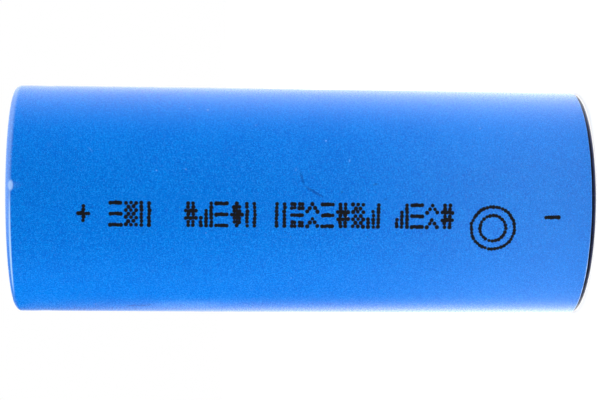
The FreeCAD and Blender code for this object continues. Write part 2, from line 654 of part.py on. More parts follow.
def spiral_arcs(offset, start, stop):
    """Returns the spiral's arcs, offset outwards, from one turn to another.

    Each half turn is an arc of a circle. The circles' centres lie a quarter of the pitch to either
    side of the axis, and their radii grow by half the pitch, so that the arcs run on smoothly.
    """
    pitch = number(PITCH)
    arcs = []
    for half in range(math.floor(2 * start), math.ceil(2 * stop)):
        centre = FreeCAD.Vector(pitch / 4 if half % 2 else -pitch / 4, 0, 0)
        radius = number(CORE_RADIUS) + half * pitch / 2 + offset
        low, high = max(start, half / 2), min(stop, (half + 1) / 2)
        if high - low < 1e-9:
            continue
        spots = []
        for turn in (low, (low + high) / 2, high):
            angle = 2 * math.pi * turn
            spots.append(centre + FreeCAD.Vector(math.cos(angle), math.sin(angle), 0) * radius)
        arcs.append(Part.Arc(*spots).toShape())
    return arcs


def ends_of(arcs):
    """Returns the first and last points of a run of arcs."""
    return arcs[0].Vertexes[0].Point, arcs[-1].Vertexes[-1].Point


def wound_sheet(name, line, stretches, bottom, top):
    """Adds a sheet wound into the spiral as a sub-part.

    Args:
        name: the sub-part's name.
        line: formula of the sheet's inner face, as an offset from the spiral.
        stretches: (start turn, stop turn, thickness) of each stretch, from the bore outwards.
        bottom: formula of the height of the sheet's lower edge.
        top: formula of the height of its upper edge.
    """
    base = number(line)
    inner = spiral_arcs(base, stretches[0][0], stretches[-1][1])
    outer_runs = [spiral_arcs(base + sheet, start, stop) for start, stop, sheet in stretches]
    edges = list(inner)
    last_point = ends_of(inner)[0]
    for run in outer_runs:
        first, last = ends_of(run)
        edges.append(Part.makeLine(last_point, first))
        edges += run
        last_point = last
    edges.append(Part.makeLine(last_point, ends_of(inner)[1]))
    section = Part.Face(Part.Wire(Part.sortEdges(edges)[0]))
    section.translate(FreeCAD.Vector(0, 0, number(bottom)))
    feature = doc.addObject("Part::Feature", name)
    feature.Label = name
    feature.Shape = section.extrude(FreeCAD.Vector(0, 0, number(top) - number(bottom)))
    feature.Placement = FreeCAD.Placement()


def bare_window(turn, face):
    """Returns the turns between which an electrode is bare, around the tab on its face."""
    half_width = number(f"{TAPE_WIDTH} / 2 + window_play")
    centre = turn + 0.25
    share = half_width / (2 * math.pi * number(face))
    return centre - share, centre + share


def add_winding():
    """The electrodes, the separators between them and the tape that closes the winding."""
    turns = number(TURNS)
    separator = number("separator_sheet")
    foil = number("bare_foil")
    for name, line in (
            ("inner_separator", "0"),
            ("outer_separator", OUTER_SEPARATOR_LINE)):
        wound_sheet(name, line, [(0, turns, separator)], ROLL_BASE, ROLL_TOP)

    coat = number("anode_sheet")
    bare_start, anode_stop = bare_window(number(NEGATIVE_TAB_TURN), NEGATIVE_TAB_FACE)
    wound_sheet(
        "wound_anode", ANODE_LINE,
        [(number("anode_start"), bare_start, coat), (bare_start, anode_stop, foil)],
        f"{ROLL_BASE} + anode_inset", f"{ROLL_TOP} - anode_inset")

    coat = number("cathode_sheet")
    bare_start, bare_stop = bare_window(number(POSITIVE_TAB_TURN), POSITIVE_TAB_FACE)
    cathode_stop = anode_stop - 1
    wound_sheet(
        "wound_cathode", CATHODE_LINE,
        [(number("cathode_start"), bare_start, coat), (bare_start, bare_stop, foil),
         (bare_stop, cathode_stop, coat)],
        f"{ROLL_BASE} + cathode_inset", f"{ROLL_TOP} - cathode_inset")

    wound_sheet(
        "closing_tape", CATHODE_LINE,
        [(turns - 1, turns, number("closing_sheet"))],
        f"{ROLL_BASE} + closing_inset", f"{ROLL_TOP} - closing_inset")


def sub_parts():
    """Returns the document's sub-parts: its bodies and its wound sheets."""
    return [thing for thing in doc.Objects
            if thing.TypeId in ("PartDesign::Body", "Part::Feature")]


def check_document():
    """Stops the build if any object failed or any sub-part isn't one valid closed solid."""
    for thing in doc.Objects:
        if "Invalid" in thing.State or "Error" in thing.State:
            raise RuntimeError(f"{thing.Label} failed: {thing.State}")
    for part in sub_parts():
        shape = part.Shape
        if shape.isNull() or not shape.isValid() or len(shape.Solids) != 1:
            raise RuntimeError(f"{part.Label} isn't one valid solid")


def write_parts():
    """Writes each sub-part's shape to a STEP file named by its Label."""
    os.makedirs("parts", exist_ok=True)
    for part in sub_parts():
        part.Shape.exportStep(f"parts/{part.Label}.step")
        print(f"{part.Label}: {part.Shape.Volume:.2f} mm3")


def main():
    """Builds the document and writes its sub-parts."""
    fill_sheet()
    add_can()
    add_gasket()
    add_cap()
    add_thermistor()
    add_vent_disc()
    add_interrupter_ring()
    add_weld_plate()
    add_washer()
    add_sleeve()
    add_top_insulator()
    add_bottom_insulator()
    add_centre_pin()
    add_winding()
    add_positive_tab()
    add_negative_tab()
    add_tab_tapes()
    doc.recompute()
    check_document()
    write_parts()


main()
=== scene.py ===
"""A cylindrical lithium-ion cell, 26 mm across and 65 mm tall, in its shrink sleeve.

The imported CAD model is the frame. Its solids keep their shape and get real finishes here,
and two pieces are made new around them: the shrunk blue sleeve, which puckers where it
folds over the crimped rim, and the row of ink marks jetted along its side.
Lengths are in metres. The cell stands on its flat end, with its axis on Z.
"""

import logging
import math
import random
from dataclasses import dataclass, field
from enum import Enum
from typing import Iterable, Sequence, Union

import bmesh
import bpy
from mathutils import Matrix, Vector, noise


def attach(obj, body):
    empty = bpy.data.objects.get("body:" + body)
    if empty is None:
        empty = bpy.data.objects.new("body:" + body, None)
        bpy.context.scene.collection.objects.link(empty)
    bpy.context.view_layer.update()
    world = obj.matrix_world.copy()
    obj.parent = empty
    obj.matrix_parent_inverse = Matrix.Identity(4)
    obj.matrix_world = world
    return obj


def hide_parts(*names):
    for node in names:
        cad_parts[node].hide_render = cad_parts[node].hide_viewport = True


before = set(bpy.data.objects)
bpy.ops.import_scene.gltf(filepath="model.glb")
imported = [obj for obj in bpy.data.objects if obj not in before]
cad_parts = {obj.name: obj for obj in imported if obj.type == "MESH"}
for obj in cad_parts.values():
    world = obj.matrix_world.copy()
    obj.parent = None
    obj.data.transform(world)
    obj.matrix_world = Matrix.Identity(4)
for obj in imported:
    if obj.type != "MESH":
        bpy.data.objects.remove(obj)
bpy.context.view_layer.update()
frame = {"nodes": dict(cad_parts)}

LOG = logging.getLogger("cell")
MM = 0.001
CAN_RADIUS = 13 * MM
SLEEVE_RADIUS = 13.1 * MM
LEVEL = 1.5708  # the slant, in radians, of a mark that runs round the cell
BODY = "root"

Colour = tuple[float, float, float]
Feed = Union[float, Sequence[float], bpy.types.NodeSocket]
Sockets = bpy.types.bpy_prop_collection


def smooth_step(value: float, low: float, high: float) -> float:
    """Eases from 0 at low to 1 at high.

    Args:
        value: where to read the curve.
        low: where the rise begins.
        high: where the rise ends.

    Returns:
        A number from 0 to 1.
    """
    share = min(1.0, max(0.0, (value - low) / (high - low)))
    return share * share * (3.0 - 2.0 * share)


def bell(offset: float, width: float) -> float:
    """A bell curve of height 1 at no offset, about two widths across."""
    return math.exp(-((offset / width) ** 2))


def scaled(colour: Colour, share: float) -> Colour:
    """The colour made lighter or darker, up to white."""
    return tuple(min(1.0, part * share) for part in colour)


def round_from_front(place: Vector) -> float:
    """The angle round the axis in radians, 0 at the front (-Y) and growing towards -X."""
    return math.atan2(-place.x, -place.y)


# --------------------------------------------------------------------------- node wiring


class Wiring:
    """Places and joins nodes in one node tree."""

    def __init__(self, tree: bpy.types.NodeTree) -> None:
        """Keeps the tree that the nodes go in."""
        self.tree = tree

    def add(self, kind: str, **settings: object) -> bpy.types.Node:
        """Adds a node.

        Args:
            kind: the node's class name.
            **settings: properties to set on it.

        Returns:
            The new node.
        """
        made = self.tree.nodes.new(kind)
        for name, value in settings.items():
            setattr(made, name, value)
        return made

    def feed(self, socket: bpy.types.NodeSocket, value: Feed) -> None:
        """Joins an output to a socket, or sets the socket to a number or colour.

        Args:
            socket: the input to feed.
            value: an output socket, a number, or three or four numbers.
        """
        if isinstance(value, bpy.types.NodeSocket):
            self.tree.links.new(value, socket)
        elif isinstance(value, (int, float)):
            socket.default_value = float(value)
        elif socket.type == "RGBA" and len(value) == 3:
            socket.default_value = (*value, 1.0)
        else:
            socket.default_value = tuple(value)

    def fill(self, node: bpy.types.Node, **values: Feed) -> None:
        """Feeds several inputs of a node.

        Args:
            node: the node.
            **values: what each input takes, by its name with _ for a space.
        """
        for name, value in values.items():
            self.feed(node.inputs[name.replace("_", " ")], value)

    def number(self, operation: str, *values: Feed) -> bpy.types.NodeSocket:
        """One step of arithmetic.

        Args:
            operation: the Math node's operation.
            *values: its operands.

        Returns:
            The result's socket.
        """
        step = self.add("ShaderNodeMath", operation=operation)
        for socket, value in zip(step.inputs, values):
            self.feed(socket, value)
        return step.outputs[0]

    def times(self, first: Feed, second: Feed) -> bpy.types.NodeSocket:
        """The product of two values."""
        return self.number("MULTIPLY", first, second)

    def plus(self, first: Feed, second: Feed) -> bpy.types.NodeSocket:
        """The sum of two values."""
        return self.number("ADD", first, second)

    def minus(self, first: Feed, second: Feed) -> bpy.types.NodeSocket:
        """The first value less the second."""
        return self.number("SUBTRACT", first, second)

    def over(self, first: Feed, second: Feed) -> bpy.types.NodeSocket:
        """The first value divided by the second."""
        return self.number("DIVIDE", first, second)

    def blend(self, share: Feed, first: Feed, second: Feed, way: str = "MIX") -> bpy.types.NodeSocket:
        """Mixes two colours.

        Args:
            share: how much of the second, from 0 to 1.
            first: the colour at share 0.
            second: the colour at share 1.
            way: the Mix node's blend type.

        Returns:
            The mixed colour's socket.
        """
        mix = self.add("ShaderNodeMix", data_type="RGBA", blend_type=way)
        self.feed(mix.inputs[0], share)
        self.feed(mix.inputs[6], first)
        self.feed(mix.inputs[7], second)
        return mix.outputs[2]

    def rescale(self, value: Feed, low: float, high: float, to_low: float = 0.0,
                to_high: float = 1.0) -> bpy.types.NodeSocket:
        """Eases a value from one range to another.

        Args:
            value: the value to read.
            low: where the change begins.
            high: where the change ends.
            to_low: the result up to low.
            to_high: the result from high on.

        Returns:
            The result's socket.
        """
        node = self.add("ShaderNodeMapRange", interpolation_type="SMOOTHSTEP")
        for socket, number in zip(node.inputs, (value, low, high, to_low, to_high)):
            self.feed(socket, number)
        return node.outputs[0]

    def group(self, tree: bpy.types.NodeTree, **values: Feed) -> bpy.types.Node:
        """Places a shared group with this material's own values.

        Args:
            tree: the group's tree.
            **values: its inputs by name, with _ for a space.

        Returns:
            The group node.
        """
        node = self.add("ShaderNodeGroup", node_tree=tree)
        self.fill(node, **values)
        return node

    def effect(self, tree: bpy.types.NodeTree, **values: Feed) -> bpy.types.NodeSocket:
        """The first output of a shared group, placed with these values."""
        return self.group(tree, **values).outputs[0]

    def place(self) -> bpy.types.NodeSocket:
        """The place on the piece, in its own metres."""
        return self.add("ShaderNodeTexCoord").outputs["Object"]

    def stretched(self, place: bpy.types.NodeSocket, scale: Sequence[float]) -> bpy.types.NodeSocket:
        """A place with each axis multiplied by a number."""
        mapping = self.add("ShaderNodeMapping")
        self.fill(mapping, Vector=place, Scale=scale)
        return mapping.outputs[0]

    def cloud(self, place: bpy.types.NodeSocket, size: float, detail: float = 3.0,
              roughness: float = 0.55) -> bpy.types.NodeSocket:
        """Fractal noise with features of about this size.

        Args:
            place: where to read it.
            size: the features' size in the units of place.
            detail: the number of finer layers.
            roughness: how strong each finer layer is.

        Returns:
            The noise's value socket.
        """
        node = self.add("ShaderNodeTexNoise")
        self.fill(node, Vector=place, Scale=1.0 / size, Detail=detail, Roughness=roughness)
        return node.outputs[0]

    def bumped(self, layers: Iterable[tuple[bpy.types.NodeSocket, float]]) -> bpy.types.NodeSocket:
        """Lays bump layers over each other.

        Args:
            layers: a height and its depth in metres for each layer.

        Returns:
            The last layer's normal socket.
        """
        normal = None
        for height, depth in layers:
            node = self.add("ShaderNodeBump")
            self.fill(node, Strength=1.0, Distance=depth, Height=height)
            if normal is not None:
                self.feed(node.inputs["Normal"], normal)
            normal = node.outputs[0]
        return normal


# --------------------------------------------------------------------------- shared effects


class SharedEffects:
    """The shader node groups that several finishes use, each made once."""

    def __init__(self) -> None:
        """Makes every group."""
        self.wrap = self._wrap()
        self.speckle = self._speckle()
        self.streak = self._streak()
        self.scratches = self._scratches()
        self.edge_wear = self._edge_wear()
        self.turning = self._turning()
        self.fibres = self._fibres()

    @staticmethod
    def _new(name: str, takes: dict[str, str], gives: dict[str, str]) -> tuple[Wiring, Sockets, Sockets]:
        """Starts a group.

        Args:
            name: the group's name.
            takes: the kind of each input by name: Float, Vector or Color.
            gives: the kind of each output by name.

        Returns:
            The wiring, what the group takes in, and what it gives out.
        """
        tree = bpy.data.node_groups.new(name, "ShaderNodeTree")
        for side, kinds in (("INPUT", takes), ("OUTPUT", gives)):
            for title, kind in kinds.items():
                tree.interface.new_socket(name=title, in_out=side, socket_type="NodeSocket" + kind)
        wiring = Wiring(tree)
        return wiring, wiring.add("NodeGroupInput").outputs, wiring.add("NodeGroupOutput").inputs

    def round_axis(self, w: Wiring, place: bpy.types.NodeSocket, wall: float = CAN_RADIUS) -> Sockets:
        """The distance round from the front on this wall, the height, and the distance from the axis."""
        return w.group(self.wrap, Place=place, Wall=wall).outputs

    def _wrap(self) -> bpy.types.NodeTree:
        """Place to the distance round from the front, the height, and the distance from the axis."""
        w, taken, given = self._new("wrap_round_axis", {"Place": "Vector", "Wall": "Float"},
                                    {"Around": "Float", "Along": "Float", "Out": "Float"})
        parts = w.add("ShaderNodeSeparateXYZ")
        w.feed(parts.inputs[0], taken["Place"])
        x, y, z = parts.outputs
        angle = w.number("ARCTAN2", w.times(x, -1.0), w.times(y, -1.0))
        w.feed(given["Around"], w.times(angle, taken["Wall"]))
        w.feed(given["Along"], z)
        squares = w.plus(w.times(x, x), w.times(y, y))
        w.feed(given["Out"], w.number("SQRT", squares))
        return w.tree

    def _speckle(self) -> bpy.types.NodeTree:
        """Scattered round dots of uneven size, as a mask."""
        w, taken, given = self._new("speckle", {"Place": "Vector", "Spacing": "Float", "Fill": "Float"},
                                    {"Mask": "Float"})
        cells = w.add("ShaderNodeTexVoronoi", feature="F1")
        w.fill(cells, Vector=taken["Place"], Scale=w.over(1.0, taken["Spacing"]))
        colour = w.add("ShaderNodeSeparateColor")
        w.feed(colour.inputs[0], cells.outputs["Color"])
        reach = w.times(w.number("POWER", colour.outputs[0], 3.0), taken["Fill"])
        inside = w.minus(reach, cells.outputs["Distance"])
        w.feed(given["Mask"], w.rescale(inside, 0.0, 0.12))
        return w.tree

    def _streak(self) -> bpy.types.NodeTree:
        """One soft-edged mark of a given length, width and slant, as a mask."""
        w, taken, given = self._new("single_mark", {"Around": "Float", "Along": "Float", "Ragged": "Float",
                                                    "Centre Around": "Float", "Centre Along": "Float",
                                                    "Slant": "Float", "Length": "Float", "Width": "Float"},
                                    {"Mask": "Float"})
        side = w.minus(taken["Around"], taken["Centre Around"])
        rise = w.minus(taken["Along"], taken["Centre Along"])
        cosine = w.number("COSINE", taken["Slant"])
        sine = w.number("SINE", taken["Slant"])
        on = w.plus(w.times(rise, cosine), w.times(side, sine))
        off = w.minus(w.times(side, cosine), w.times(rise, sine))
        far_on = w.over(w.number("ABSOLUTE", on), w.times(taken["Length"], 0.5))
        far_off = w.over(w.number("ABSOLUTE", off), w.times(taken["Width"], 0.5))
        reach = w.number("SQRT", w.plus(w.number("POWER", far_on, 2.0), w.number("POWER", far_off, 2.0)))
        frayed = w.plus(reach, taken["Ragged"])
        w.feed(given["Mask"], w.rescale(frayed, 0.55, 1.15, 1.0, 0.0))
        return w.tree

    def _scratches(self) -> bpy.types.NodeTree:
        """Sparse hairline scratches in one direction, as a mask."""
        w, taken, given = self._new("hairline_scratches",
                                    {"Place": "Vector", "Width": "Float", "Amount": "Float"},
                                    {"Mask": "Float"})
        bend = w.add("ShaderNodeTexNoise")
        w.fill(bend, Vector=taken["Place"], Scale=w.over(0.02, taken["Width"]))
        shift = w.add("ShaderNodeVectorMath", operation="SCALE")
        w.feed(shift.inputs[0], bend.outputs[1])
        w.feed(shift.inputs["Scale"], w.times(taken["Width"], 6.0))
        moved = w.add("ShaderNodeVectorMath", operation="ADD")
        w.feed(moved.inputs[0], taken["Place"])
        w.feed(moved.inputs[1], shift.outputs[0])
        lines = w.add("ShaderNodeTexNoise")
        w.fill(lines, Vector=moved.outputs[0], Scale=w.over(0.25, taken["Width"]), Detail=2.0)
        middle = w.number("ABSOLUTE", w.minus(lines.outputs[0], 0.5))
        thin = w.minus(w.times(taken["Amount"], 0.03), middle)
        w.feed(given["Mask"], w.rescale(thin, 0.0, 0.01))
        return w.tree

    def _edge_wear(self) -> bpy.types.NodeTree:
        """A band along an edge at a known place, broken up by noise, as a mask."""
        w, taken, given = self._new("edge_wear", {"Place": "Vector", "Position": "Float", "Edge": "Float",
                                                  "Width": "Float", "Grain": "Float"}, {"Mask": "Float"})
        breaks = w.add("ShaderNodeTexNoise")
        w.fill(breaks, Vector=taken["Place"], Scale=w.over(1.0, taken["Grain"]), Detail=4.0)
        away = w.number("ABSOLUTE", w.minus(taken["Position"], taken["Edge"]))
        share = w.over(away, taken["Width"])
        broken = w.plus(share, w.times(w.minus(breaks.outputs[0], 0.5), 1.6))
        w.feed(given["Mask"], w.rescale(broken, 0.35, 1.0, 1.0, 0.0))
        return w.tree

    def _turning(self) -> bpy.types.NodeTree:
        """Fine uneven rings about the axis, as a height."""
        w, taken, given = self._new("turning_rings", {"Place": "Vector", "Pitch": "Float"},
                                    {"Height": "Float"})
        parts = w.add("ShaderNodeSeparateXYZ")
        w.feed(parts.inputs[0], taken["Place"])
        x, y, z = parts.outputs
        out = w.number("SQRT", w.plus(w.times(x, x), w.times(y, y)))
        joined = w.add("ShaderNodeCombineXYZ")
        w.feed(joined.inputs[0], w.over(out, taken["Pitch"]))
        w.feed(joined.inputs[1], w.over(z, taken["Pitch"]))
        w.feed(joined.inputs[2], w.over(w.plus(x, y), w.times(taken["Pitch"], 60.0)))
        rings = w.add("ShaderNodeTexNoise")
        w.fill(rings, Vector=joined.outputs[0], Scale=1.0, Detail=3.0)
        w.feed(given["Height"], rings.outputs[0])
        return w.tree

    def _fibres(self) -> bpy.types.NodeTree:
        """Short crossing fibres, as on pressed paper, as a value."""
        w, taken, given = self._new("pressed_fibres", {"Place": "Vector", "Size": "Float"},
                                    {"Value": "Float"})
        layers = []
        for turn, (long_way, cross_way) in enumerate(((0.18, 1.0), (1.0, 0.2))):
            bent = w.add("ShaderNodeMapping")
            w.feed(bent.inputs["Vector"], taken["Place"])
            bent.inputs["Rotation"].default_value = (0.0, 0.0, 0.5 + 0.9 * turn)
            bent.inputs["Scale"].default_value = (long_way, cross_way, 1.0)
            strand = w.add("ShaderNodeTexNoise")
            w.fill(strand, Vector=bent.outputs[0], Scale=w.over(1.0, taken["Size"]), Detail=3.0)
            layers.append(strand.outputs[0])
        w.feed(given["Value"], w.times(w.plus(*layers), 0.5))
        return w.tree


def new_material(name: str) -> tuple[bpy.types.Material, Wiring, bpy.types.Node]:
    """Starts a material.

    Args:
        name: the material's name.

    Returns:
        The material, its wiring, and its Principled shader, joined to the output.
    """
    material = bpy.data.materials.new(name)
    material.use_nodes = True
    material.node_tree.nodes.clear()
    wiring = Wiring(material.node_tree)
    shader = wiring.add("ShaderNodeBsdfPrincipled")
    output = wiring.add("ShaderNodeOutputMaterial")
    wiring.feed(output.inputs["Surface"], shader.outputs[0])
    return material, wiring, shader


# --------------------------------------------------------------------------- finishes


class Grain(Enum):
    """The direction that making a metal part leaves in its surface."""

    DRAWN = (1.0, 1.0, 0.035)
    ROLLED = (0.06, 0.06, 1.0)
    STAMPED = (1.0, 1.0, 1.0)
    TURNED = (1.0, 1.0, 0.999)


@dataclass(frozen=True)
class MetalFinish:
    """Bare or plated sheet metal with grain, hairlines, stains and rubbed edges."""

    name: str
    bright: Colour
    dull: Colour
    grain: Grain
    roughness: float = 0.28
    grain_size: float = 0.10 * MM
    grain_depth: float = 0.004 * MM
    scratch: float = 0.5
    wear_out: tuple[float, float] | None = None
    wear_along: tuple[float, float] | None = None
    tint: Colour | None = None

    def material(self, effects: SharedEffects) -> bpy.types.Material:
        """Makes the finish.

        Args:
            effects: the shared groups.

        Returns:
            The material.
        """
        material, w, shader = new_material(self.name)
        place = w.place()
        _, along, out = effects.round_axis(w, place)
        if self.grain is Grain.TURNED:
            grain = w.effect(effects.turning, Place=place, Pitch=self.grain_size)
        else:
            grain = w.cloud(w.stretched(place, self.grain.value), self.grain_size, 4.0)
        stains = w.cloud(place, 3.2 * MM, 4.0, 0.6)
        hairs = w.effect(effects.scratches, Place=w.stretched(place, (1.0, 0.35, 0.5)), Width=0.05 * MM,
                         Amount=self.scratch)
        dull = w.rescale(stains, 0.38, 0.72)
        colour = w.blend(dull, self.bright, self.dull)
        if self.tint:
            heat = w.rescale(w.cloud(place, 1.4 * MM, 3.0), 0.5, 0.75, 0.0, 0.6)
            colour = w.blend(heat, colour, self.tint)
        colour = w.blend(w.rescale(grain, 0.3, 0.7, 0.0, 0.35), colour, scaled(self.bright, 0.72))
        rough = w.plus(w.rescale(grain, 0.25, 0.75, self.roughness - 0.07, self.roughness + 0.09),
                       w.times(dull, 0.10))
        rough = w.plus(rough, w.times(hairs, 0.12))
        for position, band in ((out, self.wear_out), (along, self.wear_along)):
            if band:
                worn = w.effect(effects.edge_wear, Place=place, Position=position, Edge=band[0],
                                Width=band[1], Grain=0.5 * MM)
                colour = w.blend(w.times(worn, 0.7), colour, scaled(self.bright, 1.25))
                rough = w.minus(rough, w.times(worn, 0.08))
        w.fill(shader, Base_Color=colour, Metallic=1.0, Roughness=rough,
               Normal=w.bumped([(grain, self.grain_depth), (hairs, -0.003 * MM)]))
        return material


@dataclass(frozen=True)
class CanFinish(MetalFinish):
    """The drawn can: streaked plated wall, ringed base, and a base corner with painted shade, a painted
    sheen and painted glints.
    """

    # painted shade, a painted navy sheen and painted glints for the base corner's reflections
    painted_corner_shade: Colour = (0.010, 0.012, 0.022)
    painted_corner_sheen: Colour = (0.030, 0.042, 0.125)
    painted_glint: Colour = (0.16, 0.14, 0.16)
    corner_top: float = 0.9 * MM
    base_edge: float = 12.42 * MM

    def material(self, effects: SharedEffects) -> bpy.types.Material:
        """Makes the plated finish, then paints shade, a sheen and glints onto the base corner.

        Args:
            effects: the shared groups.

        Returns:
            The material.
        """
        material = super().material(effects)
        w = Wiring(material.node_tree)
        shader = next(n for n in w.tree.nodes if n.type == "BSDF_PRINCIPLED")
        plated = shader.inputs["Base Color"].links[0].from_socket
        rough = shader.inputs["Roughness"].links[0].from_socket
        place = w.place()
        _, along, out = effects.round_axis(w, place)
        ragged = w.cloud(place, 0.5 * MM, 4.0)
        rings = w.effect(effects.turning, Place=place, Pitch=0.35 * MM)
        stamped = w.times(w.rescale(along, 0.0, 0.25 * MM, 1.0, 0.0), 0.5)
        plated = w.blend(w.times(w.rescale(rings, 0.35, 0.65), stamped), plated, scaled(self.bright, 0.55))
        # the base corner gets painted shade, with a painted navy sheen along its lowest part
        reach = w.plus(out, w.times(w.minus(ragged, 0.5), 0.25 * MM))
        outer = w.rescale(reach, self.base_edge - 0.12 * MM, self.base_edge + 0.10 * MM)
        low = w.rescale(along, 0.75 * self.corner_top, self.corner_top, 1.0, 0.0)
        corner = w.times(outer, low)
        painted_sheen_mask = w.rescale(along, 0.28 * MM, 0.46 * MM, 1.0, 0.0)
        painted_corner_colour = w.blend(w.times(painted_sheen_mask, w.rescale(ragged, 0.3, 0.7, 0.4, 1.0)), self.painted_corner_shade,
                       self.painted_corner_sheen)
        # painted glints on the shaded corner
        painted_glint_mask = w.effect(effects.speckle, Place=place, Spacing=0.30 * MM, Fill=0.5)
        painted_corner_colour = w.blend(w.times(painted_glint_mask, 0.25), painted_corner_colour, self.painted_glint)
        w.fill(shader, Base_Color=w.blend(corner, plated, painted_corner_colour),
               Roughness=w.plus(rough, w.times(corner, 0.12)))
        return material


@dataclass(frozen=True)
class PolymerFinish:
    """Moulded or cast plastic with flow mottle, fine pits and a soft skin."""

    name: str
    colour: Colour
    shade: Colour
    roughness: float = 0.45
    mottle: float = 1.2 * MM
    pit: float = 0.25 * MM
    depth: float = 0.004 * MM
    specks: Colour | None = None

    def material(self, effects: SharedEffects) -> bpy.types.Material:
        """Makes the finish.

        Args:
            effects: the shared groups.

        Returns:
            The material.
        """
        material, w, shader = new_material(self.name)
        place = w.place()
        flow = w.cloud(place, self.mottle, 3.0)
        skin = w.cloud(place, self.pit * 0.3, 3.0)
        pits = w.effect(effects.speckle, Place=place, Spacing=self.pit, Fill=0.5)
        rings = w.effect(effects.turning, Place=place, Pitch=0.3 * MM)
        colour = w.blend(w.rescale(flow, 0.35, 0.7), self.colour, self.shade)
        colour = w.blend(w.rescale(rings, 0.45, 0.7, 0.0, 0.25), colour, self.shade)
        if self.specks:
            colour = w.blend(w.times(pits, 0.7), colour, self.specks)
        rough = w.rescale(flow, 0.3, 0.75, self.roughness - 0.06, self.roughness + 0.10)
        w.fill(shader, Base_Color=colour, Roughness=rough,
               Normal=w.bumped([(skin, self.depth), (pits, -self.depth)]))
        return material


@dataclass(frozen=True)
class PaperFinish:
    """Pressed insulating paper with crossing fibres and a faint handled edge."""

    name: str
    colour: Colour
    fibre: Colour
    soiled: Colour
    edge: float
    fibre_size: float = 0.16 * MM

    def material(self, effects: SharedEffects) -> bpy.types.Material:
        """Makes the finish.

        Args:
            effects: the shared groups.

        Returns:
            The material.
        """
        material, w, shader = new_material(self.name)
        place = w.place()
        fibres = w.effect(effects.fibres, Place=place, Size=self.fibre_size)
        tone = w.cloud(place, 2.5 * MM, 3.0)
        _, _, out = effects.round_axis(w, place)
        handled = w.effect(effects.edge_wear, Place=place, Position=out, Edge=self.edge, Width=0.35 * MM,
                           Grain=0.4 * MM)
        colour = w.blend(w.rescale(fibres, 0.38, 0.62), self.colour, self.fibre)
        colour = w.blend(w.rescale(tone, 0.5, 0.8, 0.0, 0.35), colour, self.soiled)
        colour = w.blend(w.times(handled, 0.6), colour, self.soiled)
        w.fill(shader, Base_Color=colour, Roughness=w.rescale(fibres, 0.3, 0.7, 0.72, 0.92),
               Normal=w.bumped([(fibres, 0.02 * MM)]))
        return material


@dataclass(frozen=True)
class SheetFinish:
    """Thin plastic film or tape: drawn streaks, faint creases and a satin face."""

    name: str
    colour: Colour
    streak: Colour
    roughness: float = 0.35
    along_stretch: float = 0.06
    streak_size: float = 0.3 * MM
    crease_depth: float = 0.012 * MM
    dust: Colour = (0.75, 0.74, 0.70)

    def material(self, effects: SharedEffects) -> bpy.types.Material:
        """Makes the finish.

        Args:
            effects: the shared groups.

        Returns:
            The material.
        """
        material, w, shader = new_material(self.name)
        place = w.place()
        drawn = w.cloud(w.stretched(place, (1.0, 1.0, self.along_stretch)), self.streak_size, 4.0)
        creases = w.cloud(w.stretched(place, (1.0, 1.0, 0.5)), 1.8 * MM, 3.0)
        dust = w.effect(effects.speckle, Place=place, Spacing=0.5 * MM, Fill=0.35)
        colour = w.blend(w.rescale(drawn, 0.35, 0.68), self.colour, self.streak)
        colour = w.blend(w.times(dust, 0.35), colour, self.dust)
        rough = w.rescale(drawn, 0.3, 0.7, self.roughness - 0.05, self.roughness + 0.10)
        w.fill(shader, Base_Color=colour, Roughness=rough,
               Normal=w.bumped([(creases, self.crease_depth), (drawn, 0.002 * MM)]))
        return material


@dataclass(frozen=True)
class CoatingFinish:
    """A calendered powder coating on foil, with the bare metal showing at the cut ends."""

    name: str
    coat: Colour
    grainy: Colour
    foil: Colour
    ends: tuple[float, float]
    grain_size: float = 0.05 * MM

    def material(self, effects: SharedEffects) -> bpy.types.Material:
        """Makes the finish.

        Args:
            effects: the shared groups.

        Returns:
            The material.
        """
        material, w, shader = new_material(self.name)
        place = w.place()
        powder = w.cloud(place, self.grain_size, 5.0, 0.65)
        bands = w.cloud(w.stretched(place, (0.15, 0.15, 1.0)), 1.5 * MM, 3.0)
        specks = w.effect(effects.speckle, Place=place, Spacing=0.2 * MM, Fill=0.45)
        _, along, _ = effects.round_axis(w, place)
        cut = [w.effect(effects.edge_wear, Place=place, Position=along, Edge=end, Width=0.05 * MM,
                        Grain=0.15 * MM) for end in self.ends]
        bare = w.number("MAXIMUM", *cut)
        colour = w.blend(w.rescale(powder, 0.35, 0.7), self.coat, self.grainy)
        colour = w.blend(w.rescale(bands, 0.45, 0.7, 0.0, 0.3), colour, self.coat)
        colour = w.blend(w.times(specks, 0.3), colour, scaled(self.grainy, 2.5))
        w.fill(shader, Base_Color=w.blend(bare, colour, self.foil), Metallic=w.times(bare, 0.9),
               Roughness=w.minus(w.rescale(powder, 0.3, 0.7, 0.62, 0.85), w.times(bare, 0.35)),
               Normal=w.bumped([(powder, 0.006 * MM)]))
        return material


@dataclass(frozen=True)
class Mark:
    """One rubbed, creased or whitened mark on the sleeve, or a patch of painted reflection. Lengths are in
    millimetres.
    """

    around: float
    along: float
    slant: float
    length: float
    width: float
    strength: float
    pale: bool = False


